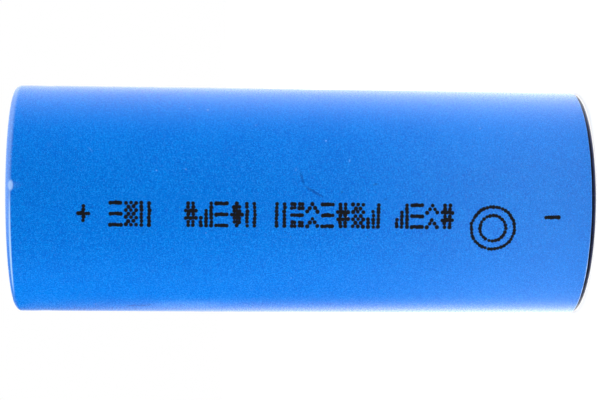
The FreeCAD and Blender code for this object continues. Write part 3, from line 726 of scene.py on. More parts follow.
SCUFFS_AND_PAINTED_REFLECTION = (
    Mark(15.5, 51.0, 0.05, 3.4, 0.30, 0.75),
    Mark(-2.48, 32.87, -1.31, 1.5, 0.36, 0.52),
    Mark(-0.99, 31.55, -0.53, 2.5, 0.36, 0.58),
    Mark(-1.88, 24.78, 0.10, 0.7, 0.28, 0.50),
    Mark(-1.0, 28.47, 0.30, 0.34, 0.28, 0.55),
    Mark(-0.23, 23.6, 0.50, 0.32, 0.24, 0.45),
    Mark(-3.45, 33.55, 1.45, 0.42, 0.16, 0.40, True),
    Mark(-4.55, 27.6, 1.45, 0.40, 0.20, 0.60, True),
    Mark(3.6, 50.2, 0.9, 1.2, 0.16, 0.25),
    Mark(4.6, 45.1, 0.2, 1.6, 0.12, 0.25),
    Mark(7.4, 46.0, 1.1, 1.0, 0.10, 0.30),
    Mark(-5.6, 56.2, -0.8, 0.8, 0.20, 0.20, True),
    Mark(-8.4, 8.6, 0.5, 1.0, 0.24, 0.22, True),
    # a broad, faint patch of painted reflection along the -X side, not a scuff
    Mark(15.2, 45.6, 0.06, 9.5, 2.6, 0.13, True),
    Mark(-38.0, 40.0, 0.3, 7.0, 0.25, 0.35, True),
    Mark(33.0, 20.0, -0.4, 5.0, 0.20, 0.35),
    Mark(-27.0, 15.0, 1.2, 3.5, 0.25, 0.30, True),
)


@dataclass(frozen=True)
class SleeveFinish:
    """Blue heat-shrunk film: pale speckle, a fine matt grain, scuffs, pale where it is stretched, and
    painted highlights and reflections.
    """

    name: str = "sleeve_blue"
    colour: Colour = (0.0, 0.136, 0.620)
    deep: Colour = (0.0, 0.088, 0.505)
    pale: Colour = (0.16, 0.40, 0.86)
    grainy: Colour = (0.0, 0.30, 0.84)
    scuffed: Colour = (0.0, 0.040, 0.270)
    fleck: Colour = (0.72, 0.84, 1.0)
    # painted highlights and a painted reflection on the hem, the folded corner, its nib and its raised line
    hem_painted_highlight: Colour = (0.42, 0.62, 0.98)
    corner_painted_reflection: Colour = (0.26, 0.42, 0.88)
    nib_painted_highlight: Colour = (0.40, 0.60, 0.98)
    line_painted_highlight: Colour = (0.50, 0.72, 1.0)
    fold_top: float = 65.3 * MM
    fold_edge: float = 12.35 * MM
    hem: float = 0.60 * MM
    roughness: float = 0.24

    def material(self, effects: SharedEffects, ridge: "NibAndRidge") -> bpy.types.Material:
        """Makes the finish.

        Args:
            effects: the shared groups.
            ridge: where the fold has a nib and a raised line, which get painted highlights.

        Returns:
            The material.
        """
        material, w, shader = new_material(self.name)
        place = w.place()
        around, along, out = effects.round_axis(w, place, SLEEVE_RADIUS)
        broad = w.cloud(place, 9 * MM, 3.0)
        matt = w.cloud(place, 0.20 * MM, 3.0, 0.75)
        fine = w.cloud(place, 0.10 * MM, 2.0, 0.8)
        ragged = w.times(w.minus(matt, 0.5), 1.4)
        small = w.effect(effects.speckle, Place=place, Spacing=0.26 * MM, Fill=0.52)
        large = w.effect(effects.speckle, Place=place, Spacing=1.7 * MM, Fill=0.11)
        dark_dots = w.effect(effects.speckle, Place=w.stretched(place, (1.0, 1.0, 1.15)), Spacing=1.1 * MM,
                             Fill=0.13)
        colour = w.blend(w.rescale(broad, 0.35, 0.68, 0.0, 0.35), self.colour, self.deep)
        colour = w.blend(w.rescale(matt, 0.50, 0.80, 0.0, 0.50), colour, self.grainy)
        colour = w.blend(w.rescale(matt, 0.22, 0.50, 1.0, 0.0), colour, self.deep)
        colour = w.blend(w.rescale(fine, 0.46, 0.66, 0.0, 0.85), colour, self.grainy)
        colour = w.blend(w.rescale(fine, 0.32, 0.48, 0.85, 0.0), colour, self.deep)
        low_end = w.rescale(along, 1 * MM, 30 * MM, 0.10, 0.0)
        colour = w.blend(low_end, colour, self.pale)
        colour = w.blend(w.times(small, w.plus(low_end, 0.02)), colour, self.pale)
        colour = w.blend(w.times(large, 0.6), colour, self.fleck)
        colour = w.blend(w.times(dark_dots, 0.35), colour, self.scuffed)
        # scuffs, whitened marks and one patch of painted reflection
        for mark in SCUFFS_AND_PAINTED_REFLECTION:
            mask = w.effect(effects.streak, Around=around, Along=along, Ragged=ragged,
                            Centre_Around=mark.around * MM, Centre_Along=mark.along * MM, Slant=mark.slant,
                            Length=mark.length * MM, Width=mark.width * MM)
            colour = w.blend(w.times(mask, mark.strength), colour, self.pale if mark.pale else self.scuffed)
        # painted highlight along the hem's edge, strongest on the -X side
        hem = w.effect(effects.edge_wear, Place=place, Position=along, Edge=self.hem, Width=0.10 * MM,
                       Grain=0.9 * MM)
        hem = w.times(hem, w.rescale(around, 2 * MM, 8 * MM, 0.12, 0.75))
        colour = w.blend(hem, colour, self.hem_painted_highlight)
        # painted reflection: a pale band on the folded corner, stronger towards the front and the +X side
        corner = w.times(w.rescale(along, 64.65 * MM, 65.05 * MM), w.rescale(out, 12.2 * MM, 12.6 * MM))
        corner = w.times(corner, w.rescale(around, 0.5 * MM, 8 * MM, 0.50, 0.15))
        colour = w.blend(corner, colour, self.corner_painted_reflection)
        puckers = w.rescale(out, self.fold_edge - 1.5 * MM, self.fold_edge, 0.22, 0.0)
        on_fold = w.times(puckers, w.rescale(along, self.fold_top - 0.7 * MM, self.fold_top))
        colour = w.blend(w.times(on_fold, w.rescale(broad, 0.3, 0.7, 0.5, 1.0)), colour, self.pale)
        # painted highlight on the nib
        nib = w.effect(effects.streak, Around=around, Along=along, Ragged=w.times(ragged, 0.4),
                       Centre_Around=ridge.nib_around, Centre_Along=ridge.nib_along, Slant=LEVEL,
                       Length=ridge.nib_long * 1.6, Width=ridge.nib_wide * 2.2)
        colour = w.blend(w.times(nib, 0.75), colour, self.nib_painted_highlight)
        # painted highlight along the raised line
        line = w.effect(effects.streak, Around=around, Along=along, Ragged=w.times(ragged, 0.25),
                        Centre_Around=(ridge.line_from + ridge.line_to) / 2, Centre_Along=ridge.line_along,
                        Slant=LEVEL, Length=(ridge.line_to - ridge.line_from) * 1.1,
                        Width=ridge.line_wide * 2.4)
        colour = w.blend(w.times(line, 0.65), colour, self.line_painted_highlight)
        w.feed(shader.inputs["Base Color"], colour)
        rough = w.rescale(matt, 0.3, 0.7, self.roughness - 0.05, self.roughness + 0.08)
        w.fill(shader, Roughness=w.plus(rough, w.times(small, 0.08)), IOR=1.36,
               Normal=w.bumped([(matt, 0.0045 * MM), (fine, 0.0012 * MM), (small, 0.002 * MM)]))
        return material


@dataclass(frozen=True)
class InkFinish:
    """Jetted black ink with a brownish thin edge and a dry, grainy face."""

    name: str = "jetted_ink"
    colour: Colour = (0.003, 0.003, 0.004)
    thin: Colour = (0.011, 0.009, 0.012)
    bluish: Colour = (0.004, 0.018, 0.06)
    roughness: float = 0.62

    def material(self, effects: SharedEffects) -> bpy.types.Material:
        """Makes the finish.

        Args:
            effects: the shared groups.

        Returns:
            The material.
        """
        material, w, shader = new_material(self.name)
        place = w.place()
        dry = w.cloud(place, 0.09 * MM, 4.0, 0.7)
        specks = w.effect(effects.speckle, Place=place, Spacing=0.22 * MM, Fill=0.35)
        colour = w.blend(w.rescale(dry, 0.42, 0.72), self.colour, self.thin)
        colour = w.blend(w.times(specks, 0.5), colour, self.bluish)
        w.fill(shader, Base_Color=colour, Specular_IOR_Level=0.25,
               Roughness=w.rescale(dry, 0.3, 0.7, self.roughness - 0.1, self.roughness + 0.15),
               Normal=w.bumped([(dry, 0.003 * MM)]))
        return material


# --------------------------------------------------------------------------- making pieces


def settle_mesh(name: str, form: bmesh.types.BMesh, material: bpy.types.Material) -> bpy.types.Object:
    """Turns a finished bmesh into a smooth-shaded object with its place in its mesh.

    The faces are put in a fixed order, since the operators leave them in another order each run.

    Args:
        name: the piece's name.
        form: the bmesh, which is freed.
        material: its finish.

    Returns:
        The object, at the origin, unturned and unscaled.
    """
    mesh = bpy.data.meshes.new(name)
    form.verts.index_update()
    corners = []
    for face in form.faces:
        order = [vert.index for vert in face.verts]
        first = order.index(min(order))
        corners.append(order[first:] + order[:first])
    mesh.from_pydata([vert.co[:] for vert in form.verts], [], sorted(corners), shade_flat=False)
    form.free()
    mesh.materials.append(material)
    piece = bpy.data.objects.new(name, mesh)
    bpy.context.scene.collection.objects.link(piece)
    return piece


@dataclass(frozen=True)
class NibAndRidge:
    """A small proud nib of film on the folded corner, with a raised line running from it."""

    nib_around: float = -1.41 * MM
    nib_along: float = 64.78 * MM
    nib_long: float = 0.80 * MM
    nib_wide: float = 0.28 * MM
    nib_height: float = 0.13 * MM
    line_from: float = -1.0 * MM
    line_to: float = 12.2 * MM
    line_along: float = 64.86 * MM
    line_wide: float = 0.10 * MM
    line_height: float = 0.030 * MM
    notch_around: float = 14.75 * MM
    notch_long: float = 0.24 * MM
    notch_depth: float = 0.15 * MM

    def rise(self, around: float, along: float, on_corner: float) -> float:
        """How far the film stands out here.

        Args:
            around: the distance round from the front.
            along: the height.
            on_corner: 1 on the folded corner and 0 away from it.

        Returns:
            The rise in metres, below 0 in the notch.
        """
        nib = self.nib_height * bell(around - self.nib_around, 0.5 * self.nib_long)
        nib *= bell(along - self.nib_along, self.nib_wide)
        ends = smooth_step(around, self.line_from, self.line_from + 1.5 * MM) * (
            1.0 - smooth_step(around, self.line_to - 3.0 * MM, self.line_to))
        line = self.line_height * ends * bell(along - self.line_along, self.line_wide)
        notch = self.notch_depth * bell(around - self.notch_around, self.notch_long)
        return (nib + line - notch * on_corner) * on_corner


@dataclass
class ShrinkSleeve:
    """The heat-shrunk film from the base corner up over the crimped rim."""

    wall: float = SLEEVE_RADIUS
    thickness: float = 0.095 * MM
    hem_centre: tuple[float, float] = (12.4 * MM, 0.6 * MM)
    hem_radius: float = 0.7 * MM
    hem_angle: float = 1.0
    fold_centre: tuple[float, float] = (12.35 * MM, 64.6 * MM)
    fold_radius: float = 0.75 * MM
    fold_inner: float = 10.55 * MM
    hem_steps: int = 2
    wall_step: float = 1.5 * MM
    fold_steps: int = 14
    flat_steps: int = 9
    turn_steps: int = 432
    wave: float = 0.014 * MM
    bead_height: float = 61.8 * MM
    bead_dip: float = 0.030 * MM
    lift: float = 0.05 * MM
    tilt: float = 0.14 * MM
    pucker: float = 0.10 * MM
    pucker_count: int = 40
    edge_wander: float = 0.16 * MM
    corner_from: tuple[float, float] = (64.60 * MM, 64.72 * MM)
    hem_wander: float = 0.035 * MM
    hem_reach: tuple[float, float] = (0.45 * MM, 1.1 * MM)
    bead_width: float = 0.7 * MM
    finish: SleeveFinish = field(default_factory=SleeveFinish)
    corner: NibAndRidge = field(default_factory=NibAndRidge)

    def outline(self) -> list[Vector]:
        """The film's outer line from the hem to the fold's free edge, as points in the XZ plane."""
        points = []
        for step in range(self.hem_steps):
            angle = math.radians(-self.hem_angle * (1 - step / self.hem_steps))
            points.append((self.hem_centre[0] + self.hem_radius * math.cos(angle),
                           self.hem_centre[1] + self.hem_radius * math.sin(angle)))
        low, high = self.hem_centre[1], self.fold_centre[1]
        count = round((high - low) / self.wall_step)
        points += [(self.wall, low + (high - low) * step / count) for step in range(count)]
        for step in range(self.fold_steps):
            angle = math.radians(90 * step / self.fold_steps)
            points.append((self.fold_centre[0] + self.fold_radius * math.cos(angle),
                           self.fold_centre[1] + self.fold_radius * math.sin(angle)))
        top = self.fold_centre[1] + self.fold_radius
        points += [(self.fold_centre[0] + (self.fold_inner - self.fold_centre[0]) * step / self.flat_steps,
                    top) for step in range(self.flat_steps + 1)]
        return [Vector((x, 0.0, z)) for x, z in points]

    def wall_rise(self, place: Vector) -> float:
        """The slow unevenness of the shrunk wall here, as a distance outwards.

        Args:
            place: a point on the film.

        Returns:
            The distance in metres.
        """
        uneven = noise.noise(Vector((place.x / 0.009, place.y / 0.009, place.z / 0.016)))
        ripple = noise.noise(Vector((place.x / 0.0035, place.y / 0.0035, place.z / 0.012 + 7.0)))
        dip = self.bead_dip * bell(place.z - self.bead_height, self.bead_width)
        return self.wave * uneven + 0.3 * self.wave * ripple - dip

    def shaped(self, place: Vector) -> Vector:
        """Where the film really lies for a point of its smooth outline.

        Args:
            place: a point on the turned outline.

        Returns:
            The moved point.
        """
        radius = math.hypot(place.x, place.y)
        turn = round_from_front(place)
        outward = Vector((place.x, place.y, 0.0)).normalized()
        in_fold = smooth_step(place.z, self.fold_centre[1], self.fold_centre[1] + 0.6 * self.fold_radius)
        on_flat = smooth_step(radius, self.fold_centre[0] + 0.25 * MM, self.fold_inner)
        moved = place + outward * self.wall_rise(place) * (1.0 - in_fold)
        moved.z += in_fold * (self.lift + self.tilt * outward.x)
        cosine, sine = math.cos(turn), math.sin(turn)
        folds = noise.noise(Vector((cosine * 7.0, sine * 7.0, 0.3 * radius / MM)))
        folds += 0.6 * noise.noise(Vector((cosine * 17.0, sine * 17.0, 3.0)))
        uneven = 9.0 * noise.noise(Vector((cosine * 2.0, sine * 2.0, 5.0)))
        folds += 0.25 * math.sin(self.pucker_count * turn + uneven)
        moved.z += self.pucker * on_flat * max(0.0, 0.35 + 0.5 * folds)
        moved += outward * self.edge_wander * on_flat ** 2 * folds
        beyond = radius - self.fold_centre[0]
        facing = Vector((0.0, 0.0, 1.0))
        if beyond > 0:
            facing = Vector((outward.x * beyond, outward.y * beyond, place.z - self.fold_centre[1]))
        on_corner = smooth_step(place.z, *self.corner_from) * smooth_step(beyond, -0.2 * MM, 0.1 * MM)
        if on_corner:
            moved += facing.normalized() * self.corner.rise(turn * self.wall, place.z, on_corner)
        hem = 1.0 - smooth_step(place.z, *self.hem_reach)
        moved.z += self.hem_wander * hem * noise.noise(outward * 5.0)
        return moved

    def rank(self, place: Vector) -> float:
        """Numbers the places of the turned outline round the cell, then from hem to fold."""
        return round(round_from_front(place) / math.tau * self.turn_steps * 2) + place.z - place.xy.length

    def build(self, effects: SharedEffects) -> bpy.types.Object:
        """Turns the outline, moves it to its shrunk shape, and gives it its thickness.

        Args:
            effects: the shared groups.

        Returns:
            The sleeve.
        """
        form = bmesh.new()
        line = [form.verts.new(point) for point in self.outline()]
        edges = [form.edges.new(pair) for pair in zip(line, line[1:])]
        bmesh.ops.spin(form, geom=line + edges, cent=(0, 0, 0), axis=(0, 0, 1), dvec=(0, 0, 0),
                       angle=math.tau, steps=self.turn_steps, use_merge=True)
        bmesh.ops.remove_doubles(form, verts=form.verts, dist=1e-7)
        # A fixed order here keeps the last digits of the thickened film the same in each run.
        form.verts.sort(key=lambda vert: self.rank(vert.co))
        form.edges.sort(key=lambda edge: self.rank((edge.verts[0].co + edge.verts[1].co) / 2))
        form.faces.sort(key=lambda face: self.rank(face.calc_center_median()))
        bmesh.ops.recalc_face_normals(form, faces=form.faces)
        if sum(face.normal.dot(face.calc_center_median().xy.to_3d()) for face in form.faces) < 0:
            bmesh.ops.reverse_faces(form, faces=form.faces)
        for vert in form.verts:
            vert.co = self.shaped(vert.co.copy())
        form.normal_update()
        bmesh.ops.solidify(form, geom=form.faces, thickness=self.thickness)
        sleeve = settle_mesh("sleeve", form, self.finish.material(effects, self.corner))
        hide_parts("shrink_sleeve")
        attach(sleeve, BODY)
        return sleeve


class Sign(Enum):
    """Plain dot-matrix marks, 7 rows high. Only the plus and the minus mean anything."""

    PLUS = (".....", "..#..", "..#..", "#####", "..#..", "..#..", ".....")
    MINUS = ("......", "......", "......", "######", "......", "......", "......")
    BARS = ("....#", "....#", "..#.#", "..#.#", "#.#.#", "#.#.#", "#.#.#")
    LATTICE = (".#.#.", ".#.#.", "#####", ".#.#.", "#####", ".#.#.", ".#.#.")
    CHECK = ("#.#.#", ".#.#.", "#.#.#", ".#.#.", "#.#.#", ".#.#.", "#.#.#")
    SLATS = ("#####", ".....", ".....", "#####", ".....", ".....", "#####")
    POSTS = ("#..#.", "#..#.", "#..#.", "#..#.", "#..#.", "#..#.", "#..#.")
    GEM = ("..#..", ".###.", ".###.", "#####", ".###.", ".###.", "..#..")
    BRICKS = ("##.##", "##.##", ".....", "#####", ".....", "##.##", "##.##")
    PEAKS = ("..#..", ".#.#.", "#...#", ".....", "..#..", ".#.#.", "#...#")


@dataclass
class PrintedRow:
    """The row of jetted ink dots along the front, read from the + end down.

    The stray specks' sizes and offsets are in millimetres; the offsets are a mean and a spread.
    """

    sleeve: ShrinkSleeve
    column: float = 0.281 * MM
    row: float = 0.405 * MM
    dot_along: float = 0.254 * MM
    dot_around: float = 0.252 * MM
    dot_sides: int = 9
    height: float = 0.011 * MM
    sunk: float = 0.004 * MM
    jitter: float = 0.022 * MM
    centre_around: float = 1.62 * MM
    groups: tuple[tuple[float, tuple[Sign, ...]], ...] = (
        (57.40 * MM, (Sign.PLUS,)),
        (53.88 * MM, (Sign.SLATS, Sign.CHECK, Sign.POSTS)),
        (45.67 * MM, (Sign.LATTICE, Sign.BARS, Sign.SLATS, Sign.GEM, Sign.POSTS)),
        (35.65 * MM, (Sign.POSTS, Sign.BRICKS, Sign.PEAKS, Sign.SLATS, Sign.LATTICE, Sign.CHECK, Sign.BARS)),
        (22.36 * MM, (Sign.BARS, Sign.SLATS, Sign.PEAKS, Sign.LATTICE)),
        (5.70 * MM, (Sign.MINUS,)),
    )
    ring_centre: tuple[float, float] = (2.92 * MM, 11.62 * MM)
    ring_radii: tuple[float, ...] = (2.42 * MM, 1.45 * MM)
    ring_dots: tuple[int, ...] = (42, 24)
    ring_dot_share: float = 0.92
    middle_row: int = 3
    columns_per_sign: int = 6
    size_range: tuple[float, float] = (0.88, 1.08)
    stray_count: int = 190
    stray_size: tuple[float, float] = (0.018, 0.055)
    stray_around: tuple[float, float] = (0.35, 0.55)
    stray_along: tuple[float, float] = (0, 0.45)
    seed: int = 26
    finish: InkFinish = field(default_factory=InkFinish)

    def on_film(self, around: float, along: float) -> Matrix:
        """A frame on the film's face: its Z points outwards and its Y along the axis.

        Args:
            around: the distance round from the front.
            along: the height.

        Returns:
            The frame as a matrix.
        """
        turn = around / self.sleeve.wall
        outward = Vector((-math.sin(turn), -math.cos(turn), 0.0))
        on_wall = outward * self.sleeve.wall
        on_wall.z = along
        side = Vector((0.0, 0.0, 1.0)).cross(outward)
        turned = Matrix((side, Vector((0, 0, 1)), outward)).transposed().to_4x4()
        place = on_wall + outward * (self.sleeve.wall_rise(on_wall) + self.height / 2 - self.sunk)
        return Matrix.Translation(place) @ turned

    def drop(self, form: bmesh.types.BMesh, around: float, along: float, wide: float, tall: float) -> None:
        """Adds one flat drop of ink with a slightly narrower face.

        Args:
            form: the bmesh to add it to.
            around: the distance round from the front.
            along: the height.
            wide: its half width round the cell.
            tall: its half height along the cell.
        """
        frame_here = self.on_film(around, along) @ Matrix.Diagonal((wide, tall, 1.0, 1.0))
        bmesh.ops.create_cone(form, cap_ends=True, segments=self.dot_sides, radius1=1.0, radius2=0.86,
                              depth=self.height, matrix=frame_here)

    def places(self, chance: random.Random) -> list[tuple[float, float, float]]:
        """Where the drops fall.

        Args:
            chance: the source of the small errors.

        Returns:
            The distance round, the height and the relative size of each drop.
        """
        found = []
        for start, signs in self.groups:
            for number, sign in enumerate(signs):
                for line, text in enumerate(sign.value):
                    for place, ink in enumerate(text):
                        if ink == "#":
                            column = self.columns_per_sign * number + place
                            found.append((self.centre_around + (line - self.middle_row) * self.row,
                                          start - column * self.column, 1.0))
        for radius, count in zip(self.ring_radii, self.ring_dots):
            for step in range(count):
                turn = math.tau * step / count
                found.append((self.ring_centre[0] + radius * math.cos(turn),
                              self.ring_centre[1] + radius * math.sin(turn), self.ring_dot_share))
        return [(around + chance.gauss(0, self.jitter), along + chance.gauss(0, self.jitter),
                 size * chance.uniform(*self.size_range)) for around, along, size in found]

    def build(self, effects: SharedEffects) -> bpy.types.Object:
        """Lays the drops, then the stray specks round them.

        Args:
            effects: the shared groups.

        Returns:
            The print as one piece.
        """
        chance = random.Random(self.seed)
        form = bmesh.new()
        drops = self.places(chance)
        for around, along, size in drops:
            self.drop(form, around, along, self.dot_around * size, self.dot_along * size)
        for _ in range(self.stray_count):
            around, along, _ = chance.choice(drops)
            size = chance.uniform(*self.stray_size) * MM
            self.drop(form, around + chance.gauss(*self.stray_around) * MM,
                      along + chance.gauss(*self.stray_along) * MM, size, size)
        ink = settle_mesh("ink_marks", form, self.finish.material(effects))
        for polygon in ink.data.polygons:
            polygon.use_smooth = False
        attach(ink, BODY)
        return ink


# --------------------------------------------------------------------------- the CAD solids


Finish = Union[MetalFinish, PolymerFinish, PaperFinish, SheetFinish, CoatingFinish]

STEEL: Colour = (0.62, 0.60, 0.57)
STEEL_DULL: Colour = (0.44, 0.43, 0.42)

FINISHES: dict[str, Finish] = {
    "cell_can": CanFinish("can_plated", STEEL, STEEL_DULL, Grain.DRAWN, roughness=0.26,
                          grain_size=0.12 * MM, scratch=0.8),
    "positive_cap": MetalFinish("cap_plated", (0.70, 0.68, 0.65), (0.52, 0.51, 0.50), Grain.TURNED,
                                roughness=0.22, grain_size=0.14 * MM, scratch=0.9,
                                wear_out=(7.2 * MM, 0.35 * MM)),
    "centre_pin": MetalFinish("pin_steel", (0.55, 0.54, 0.53), (0.36, 0.35, 0.34), Grain.ROLLED,
                              roughness=0.34, grain_size=0.09 * MM, wear_along=(59.5 * MM, 0.3 * MM)),
    "vent_disc": MetalFinish("vent_aluminium", (0.78, 0.79, 0.80), (0.62, 0.63, 0.65), Grain.TURNED,
                             roughness=0.30, grain_size=0.10 * MM, wear_out=(6.0 * MM, 0.15 * MM)),
    "weld_plate": MetalFinish("weld_plate_aluminium", (0.76, 0.77, 0.79), (0.58, 0.60, 0.62), Grain.STAMPED,
                              roughness=0.38, grain_size=0.13 * MM, wear_out=(9.2 * MM, 0.25 * MM)),
    "positive_tab": MetalFinish("tab_aluminium", (0.80, 0.81, 0.82), (0.66, 0.67, 0.69), Grain.DRAWN,
                                roughness=0.32, grain_size=0.08 * MM, scratch=0.9),
    "negative_tab": MetalFinish("tab_nickel", (0.66, 0.62, 0.56), (0.50, 0.47, 0.43), Grain.DRAWN,
                                roughness=0.30, grain_size=0.08 * MM, scratch=0.9),
    "thermistor_lower_foil": MetalFinish("thermistor_lower_nickel", (0.62, 0.58, 0.52), (0.44, 0.41, 0.37),
                                         Grain.STAMPED, roughness=0.42, grain_size=0.06 * MM),
    "thermistor_upper_foil": MetalFinish("thermistor_upper_nickel", (0.64, 0.60, 0.54), (0.46, 0.43, 0.39),
                                         Grain.TURNED, roughness=0.40, grain_size=0.08 * MM,
                                         tint=(0.42, 0.34, 0.26)),
    "thermistor_polymer": PolymerFinish("thermistor_carbon_polymer", (0.012, 0.012, 0.013),
                                        (0.030, 0.030, 0.032), roughness=0.58, specks=(0.10, 0.10, 0.11)),
    "crimp_gasket": PolymerFinish("gasket_black", (0.018, 0.018, 0.020), (0.034, 0.034, 0.038),
                                  roughness=0.42),
    "interrupter_ring": PolymerFinish("ring_white", (0.78, 0.77, 0.73), (0.68, 0.67, 0.62), roughness=0.48),
    "top_insulator": PolymerFinish("top_insulator_board", (0.60, 0.66, 0.62), (0.50, 0.57, 0.52),
                                   roughness=0.60, mottle=0.8 * MM, specks=(0.75, 0.78, 0.74)),
    "bottom_insulator": PolymerFinish("bottom_insulator_board", (0.62, 0.60, 0.52), (0.52, 0.50, 0.42),
                                      roughness=0.62, mottle=0.7 * MM, specks=(0.74, 0.72, 0.64)),
    "paper_washer": PaperFinish("washer_paper_white", (0.62, 0.605, 0.565), (0.50, 0.49, 0.45),
                                (0.40, 0.36, 0.30), edge=8.95 * MM),
    "inner_separator": SheetFinish("inner_separator_film", (0.82, 0.83, 0.84), (0.74, 0.76, 0.78),
                                   roughness=0.50),
    "outer_separator": SheetFinish("outer_separator_film", (0.80, 0.81, 0.82), (0.71, 0.73, 0.75),
                                   roughness=0.52),
    "closing_tape": SheetFinish("closing_tape_green", (0.10, 0.34, 0.22), (0.07, 0.27, 0.17),
                                roughness=0.30),
    "positive_tab_tape": SheetFinish("upper_amber_tape", (0.52, 0.22, 0.03), (0.42, 0.16, 0.02),
                                     roughness=0.22),
    "negative_tab_tape": SheetFinish("lower_amber_tape", (0.50, 0.20, 0.03), (0.40, 0.15, 0.02),
                                     roughness=0.24),
    "wound_anode": CoatingFinish("anode_graphite", (0.020, 0.020, 0.022), (0.045, 0.045, 0.050),
                                 (0.72, 0.38, 0.22), ends=(1.6 * MM, 59.5 * MM)),
    "wound_cathode": CoatingFinish("cathode_oxide", (0.028, 0.027, 0.028), (0.060, 0.058, 0.060),
                                   (0.76, 0.77, 0.79), ends=(2.2 * MM, 58.9 * MM)),
}


@dataclass
class Internals:
    """The CAD solids that keep their own shape."""

    nodes: dict[str, bpy.types.Object]

    def dress(self, effects: SharedEffects) -> None:
        """Gives each solid its finish.

        Args:
            effects: the shared groups.
        """
        for name, finish in FINISHES.items():
            made = finish.material(effects)
            for place in self.nodes[name].material_slots:
                place.material = made
            LOG.info("%s dressed as %s", name, finish.name)


# --------------------------------------------------------------------------- the studio


@dataclass
class SoftLight:
    """One square soft box that aims at the middle of the cell."""

    name: str
    place: tuple[float, float, float]
    size: float
    power: float

    def hang(self, aim: Vector) -> None:
        """Makes the light, which neither the camera nor a reflection sees.

        Args:
            aim: the point it faces.
        """
        data = bpy.data.lights.new(self.name, "AREA")
        data.shape, data.size, data.energy = "SQUARE", self.size, self.power
        lamp = bpy.data.objects.new(self.name, data)
        bpy.context.scene.collection.objects.link(lamp)
        lamp.location = self.place
        lamp.rotation_mode = "QUATERNION"
        lamp.rotation_quaternion = (Vector(self.place) - aim).to_track_quat("Z", "Y")
        lamp.visible_camera = False
        lamp.visible_glossy = False


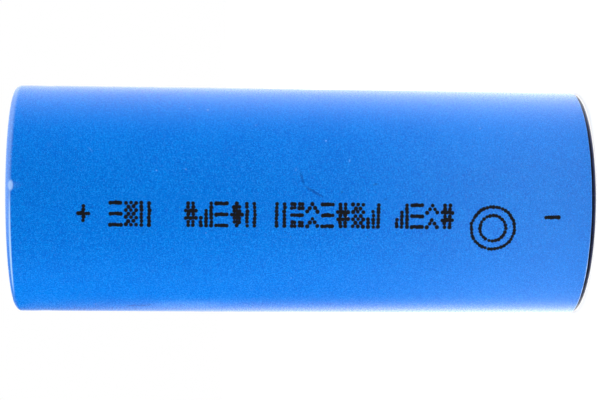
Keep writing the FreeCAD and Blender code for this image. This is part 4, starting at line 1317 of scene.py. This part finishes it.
@dataclass
class Studio:
    """The floor, the lights and the camera."""

    centre_height: float = 32.72 * MM
    distance: float = 205.15 * MM
    yaw: float = 3.24
    roll: float = 0.53
    across: float = -0.356 * MM
    down: float = 0.059 * MM
    lens: float = 104.64
    floor_half: float = 3.0
    floor_front: float = 0.20
    floor_hole: float = 12.9 * MM
    floor_colour: Colour = (0.82, 0.82, 0.83)
    floor_glow: float = 0.25
    front_mirror: float = 0.0
    back_mirror: float = 1.85
    below_mirror: float = 1.0
    lower_side_shade: float = 0.95
    low_side: tuple[float, float] = (1.35, 0.0)
    high_side: tuple[float, float] = (1.12, 0.84)
    steep_mirror: float = 0.5
    fill: float = 0.10
    ring_fill: float = 1.22
    side_fill: float = 2.2
    lights: tuple[SoftLight, ...] = (
        SoftLight("soft_upper", (0.42, -0.16, 0.30), 0.30, 0.9),
        SoftLight("soft_lower", (-0.42, -0.10, 0.28), 0.30, 1.2),
        SoftLight("soft_back", (0.05, 0.50, 0.40), 0.40, 2.6),
    )

    def lay_floor(self) -> None:
        """Makes the pale floor, which glows a little to the camera so that it stays plain.

        It is seen from above only and is open under the cell, so the base shows from below.
        """
        form = bmesh.new()
        bmesh.ops.create_circle(form, segments=96, radius=self.floor_hole)
        outer = bmesh.ops.extrude_edge_only(form, edges=form.edges[:])["geom"]
        for vert in (part for part in outer if isinstance(part, bmesh.types.BMVert)):
            vert.co *= self.floor_half / self.floor_hole
            vert.co.y = max(vert.co.y, -self.floor_front)
        bmesh.ops.recalc_face_normals(form, faces=form.faces)
        if sum(face.normal.z for face in form.faces) < 0:
            bmesh.ops.reverse_faces(form, faces=form.faces)
        material, w, shader = new_material("studio_floor")
        tone = w.cloud(w.place(), 0.4, 2.0)
        colour = w.blend(w.rescale(tone, 0.3, 0.7, 0.0, 0.2), self.floor_colour,
                         scaled(self.floor_colour, 0.97))
        w.fill(shader, Base_Color=colour, Roughness=0.9, Specular_IOR_Level=0.0,
               Emission_Color=(1.0, 1.0, 1.0))
        seen = w.add("ShaderNodeLightPath").outputs["Is Camera Ray"]
        w.feed(shader.inputs["Emission Strength"], w.times(seen, self.floor_glow))
        one_sided = w.add("ShaderNodeMixShader")
        w.feed(one_sided.inputs[0], w.add("ShaderNodeNewGeometry").outputs["Backfacing"])
        w.feed(one_sided.inputs[1], shader.outputs[0])
        w.feed(one_sided.inputs[2], w.add("ShaderNodeBsdfTransparent").outputs[0])
        output = next(node for node in w.tree.nodes if node.type == "OUTPUT_MATERIAL")
        w.feed(output.inputs["Surface"], one_sided.outputs[0])
        floor = settle_mesh("floor", form, material)
        floor.visible_glossy = False

    def light_world(self) -> None:
        """Sets the surroundings: white to the camera, bright at the sides, dark in front to reflections."""
        world = bpy.data.worlds.new("studio")
        bpy.context.scene.world = world
        world.use_nodes = True
        world.cycles.sampling_method = "NONE"  # so that every reflection sees the reflected level
        world.node_tree.nodes.clear()
        w = Wiring(world.node_tree)
        parts = w.add("ShaderNodeSeparateXYZ")
        w.feed(parts.inputs[0], w.add("ShaderNodeTexCoord").outputs["Generated"])
        x, y, z = parts.outputs
        path = w.add("ShaderNodeLightPath")
        lean = w.number("MULTIPLY_ADD", w.number("MINIMUM", x, 0.0), self.lower_side_shade, y)
        behind = w.rescale(lean, -0.45, 0.55, self.front_mirror, self.back_mirror)
        mirror = w.plus(behind, w.rescale(z, -0.26, -0.06, self.below_mirror, 0.0))
        height = w.number("ABSOLUTE", z)
        under = w.rescale(x, -0.45, -0.10, 1.0, 0.0)
        low_side = w.times(under, w.rescale(z, -0.15, 0.15, *self.low_side))
        high_side = w.times(w.minus(1.0, under), w.rescale(z, -0.15, 0.15, *self.high_side))
        mirror = w.times(mirror, w.plus(low_side, high_side))
        mirror = w.times(mirror, w.rescale(height, 0.28, 0.45, 1.0, self.steep_mirror))
        ring = w.times(w.rescale(height, 0.28, 0.45, 0.0, self.ring_fill),
                       w.rescale(height, 0.65, 0.90, 1.0, 0.1))
        sides = w.number("MULTIPLY_ADD", w.times(x, x), self.side_fill, 1.0)
        soft = w.number("MULTIPLY_ADD", ring, sides, self.fill)
        glossy = path.outputs["Is Glossy Ray"]
        lit = w.plus(w.times(glossy, mirror), w.times(w.minus(1.0, glossy), soft))
        seen = path.outputs["Is Camera Ray"]
        strength = w.plus(seen, w.times(w.minus(1.0, seen), lit))
        background = w.add("ShaderNodeBackground")
        w.fill(background, Color=(1.0, 1.0, 1.0), Strength=strength)
        output = w.add("ShaderNodeOutputWorld")
        w.feed(output.inputs["Surface"], background.outputs[0])

    def aim_camera(self) -> None:
        """Sets the camera in front, a little turned and rolled."""
        turn, roll = math.radians(self.yaw), math.radians(self.roll)
        up, level = math.sin(turn), math.cos(turn)
        right = Vector((math.sin(roll), -math.cos(roll) * up, -math.cos(roll) * level))
        below = Vector((-math.cos(roll), -math.sin(roll) * up, -math.sin(roll) * level))
        ahead = Vector((0.0, level, -up))
        centre = Vector((0.0, 0.0, self.centre_height))
        place = centre - right * self.across - below * self.down - ahead * self.distance
        data = bpy.data.cameras.new("camera")
        data.lens, data.sensor_width = self.lens, 36.0
        data.clip_start, data.clip_end = 0.01, 50.0
        camera = bpy.data.objects.new("camera", data)
        bpy.context.scene.collection.objects.link(camera)
        turned = Matrix((right, -below, -ahead)).transposed().to_4x4()
        camera.matrix_world = Matrix.Translation(place) @ turned
        bpy.context.scene.camera = camera

    def set_up(self) -> None:
        """Makes the camera, floor, surroundings and lights, and leaves the tones plain."""
        self.aim_camera()
        self.lay_floor()
        self.light_world()
        aim = Vector((0.0, 0.0, self.centre_height))
        for light in self.lights:
            light.hang(aim)
        bpy.context.scene.view_settings.view_transform = "Standard"


def main() -> None:
    """Builds the cell's pieces in order and reports each."""
    logging.basicConfig(level=logging.INFO, format="%(name)s: %(message)s")
    Studio().set_up()
    effects = SharedEffects()
    Internals(frame["nodes"]).dress(effects)
    sleeve = ShrinkSleeve()
    print_row = PrintedRow(sleeve)
    for part in (sleeve, print_row):
        piece = part.build(effects)
        LOG.info("%s: %d faces", piece.name, len(piece.data.polygons))


if __name__ == "__main__":
    main()
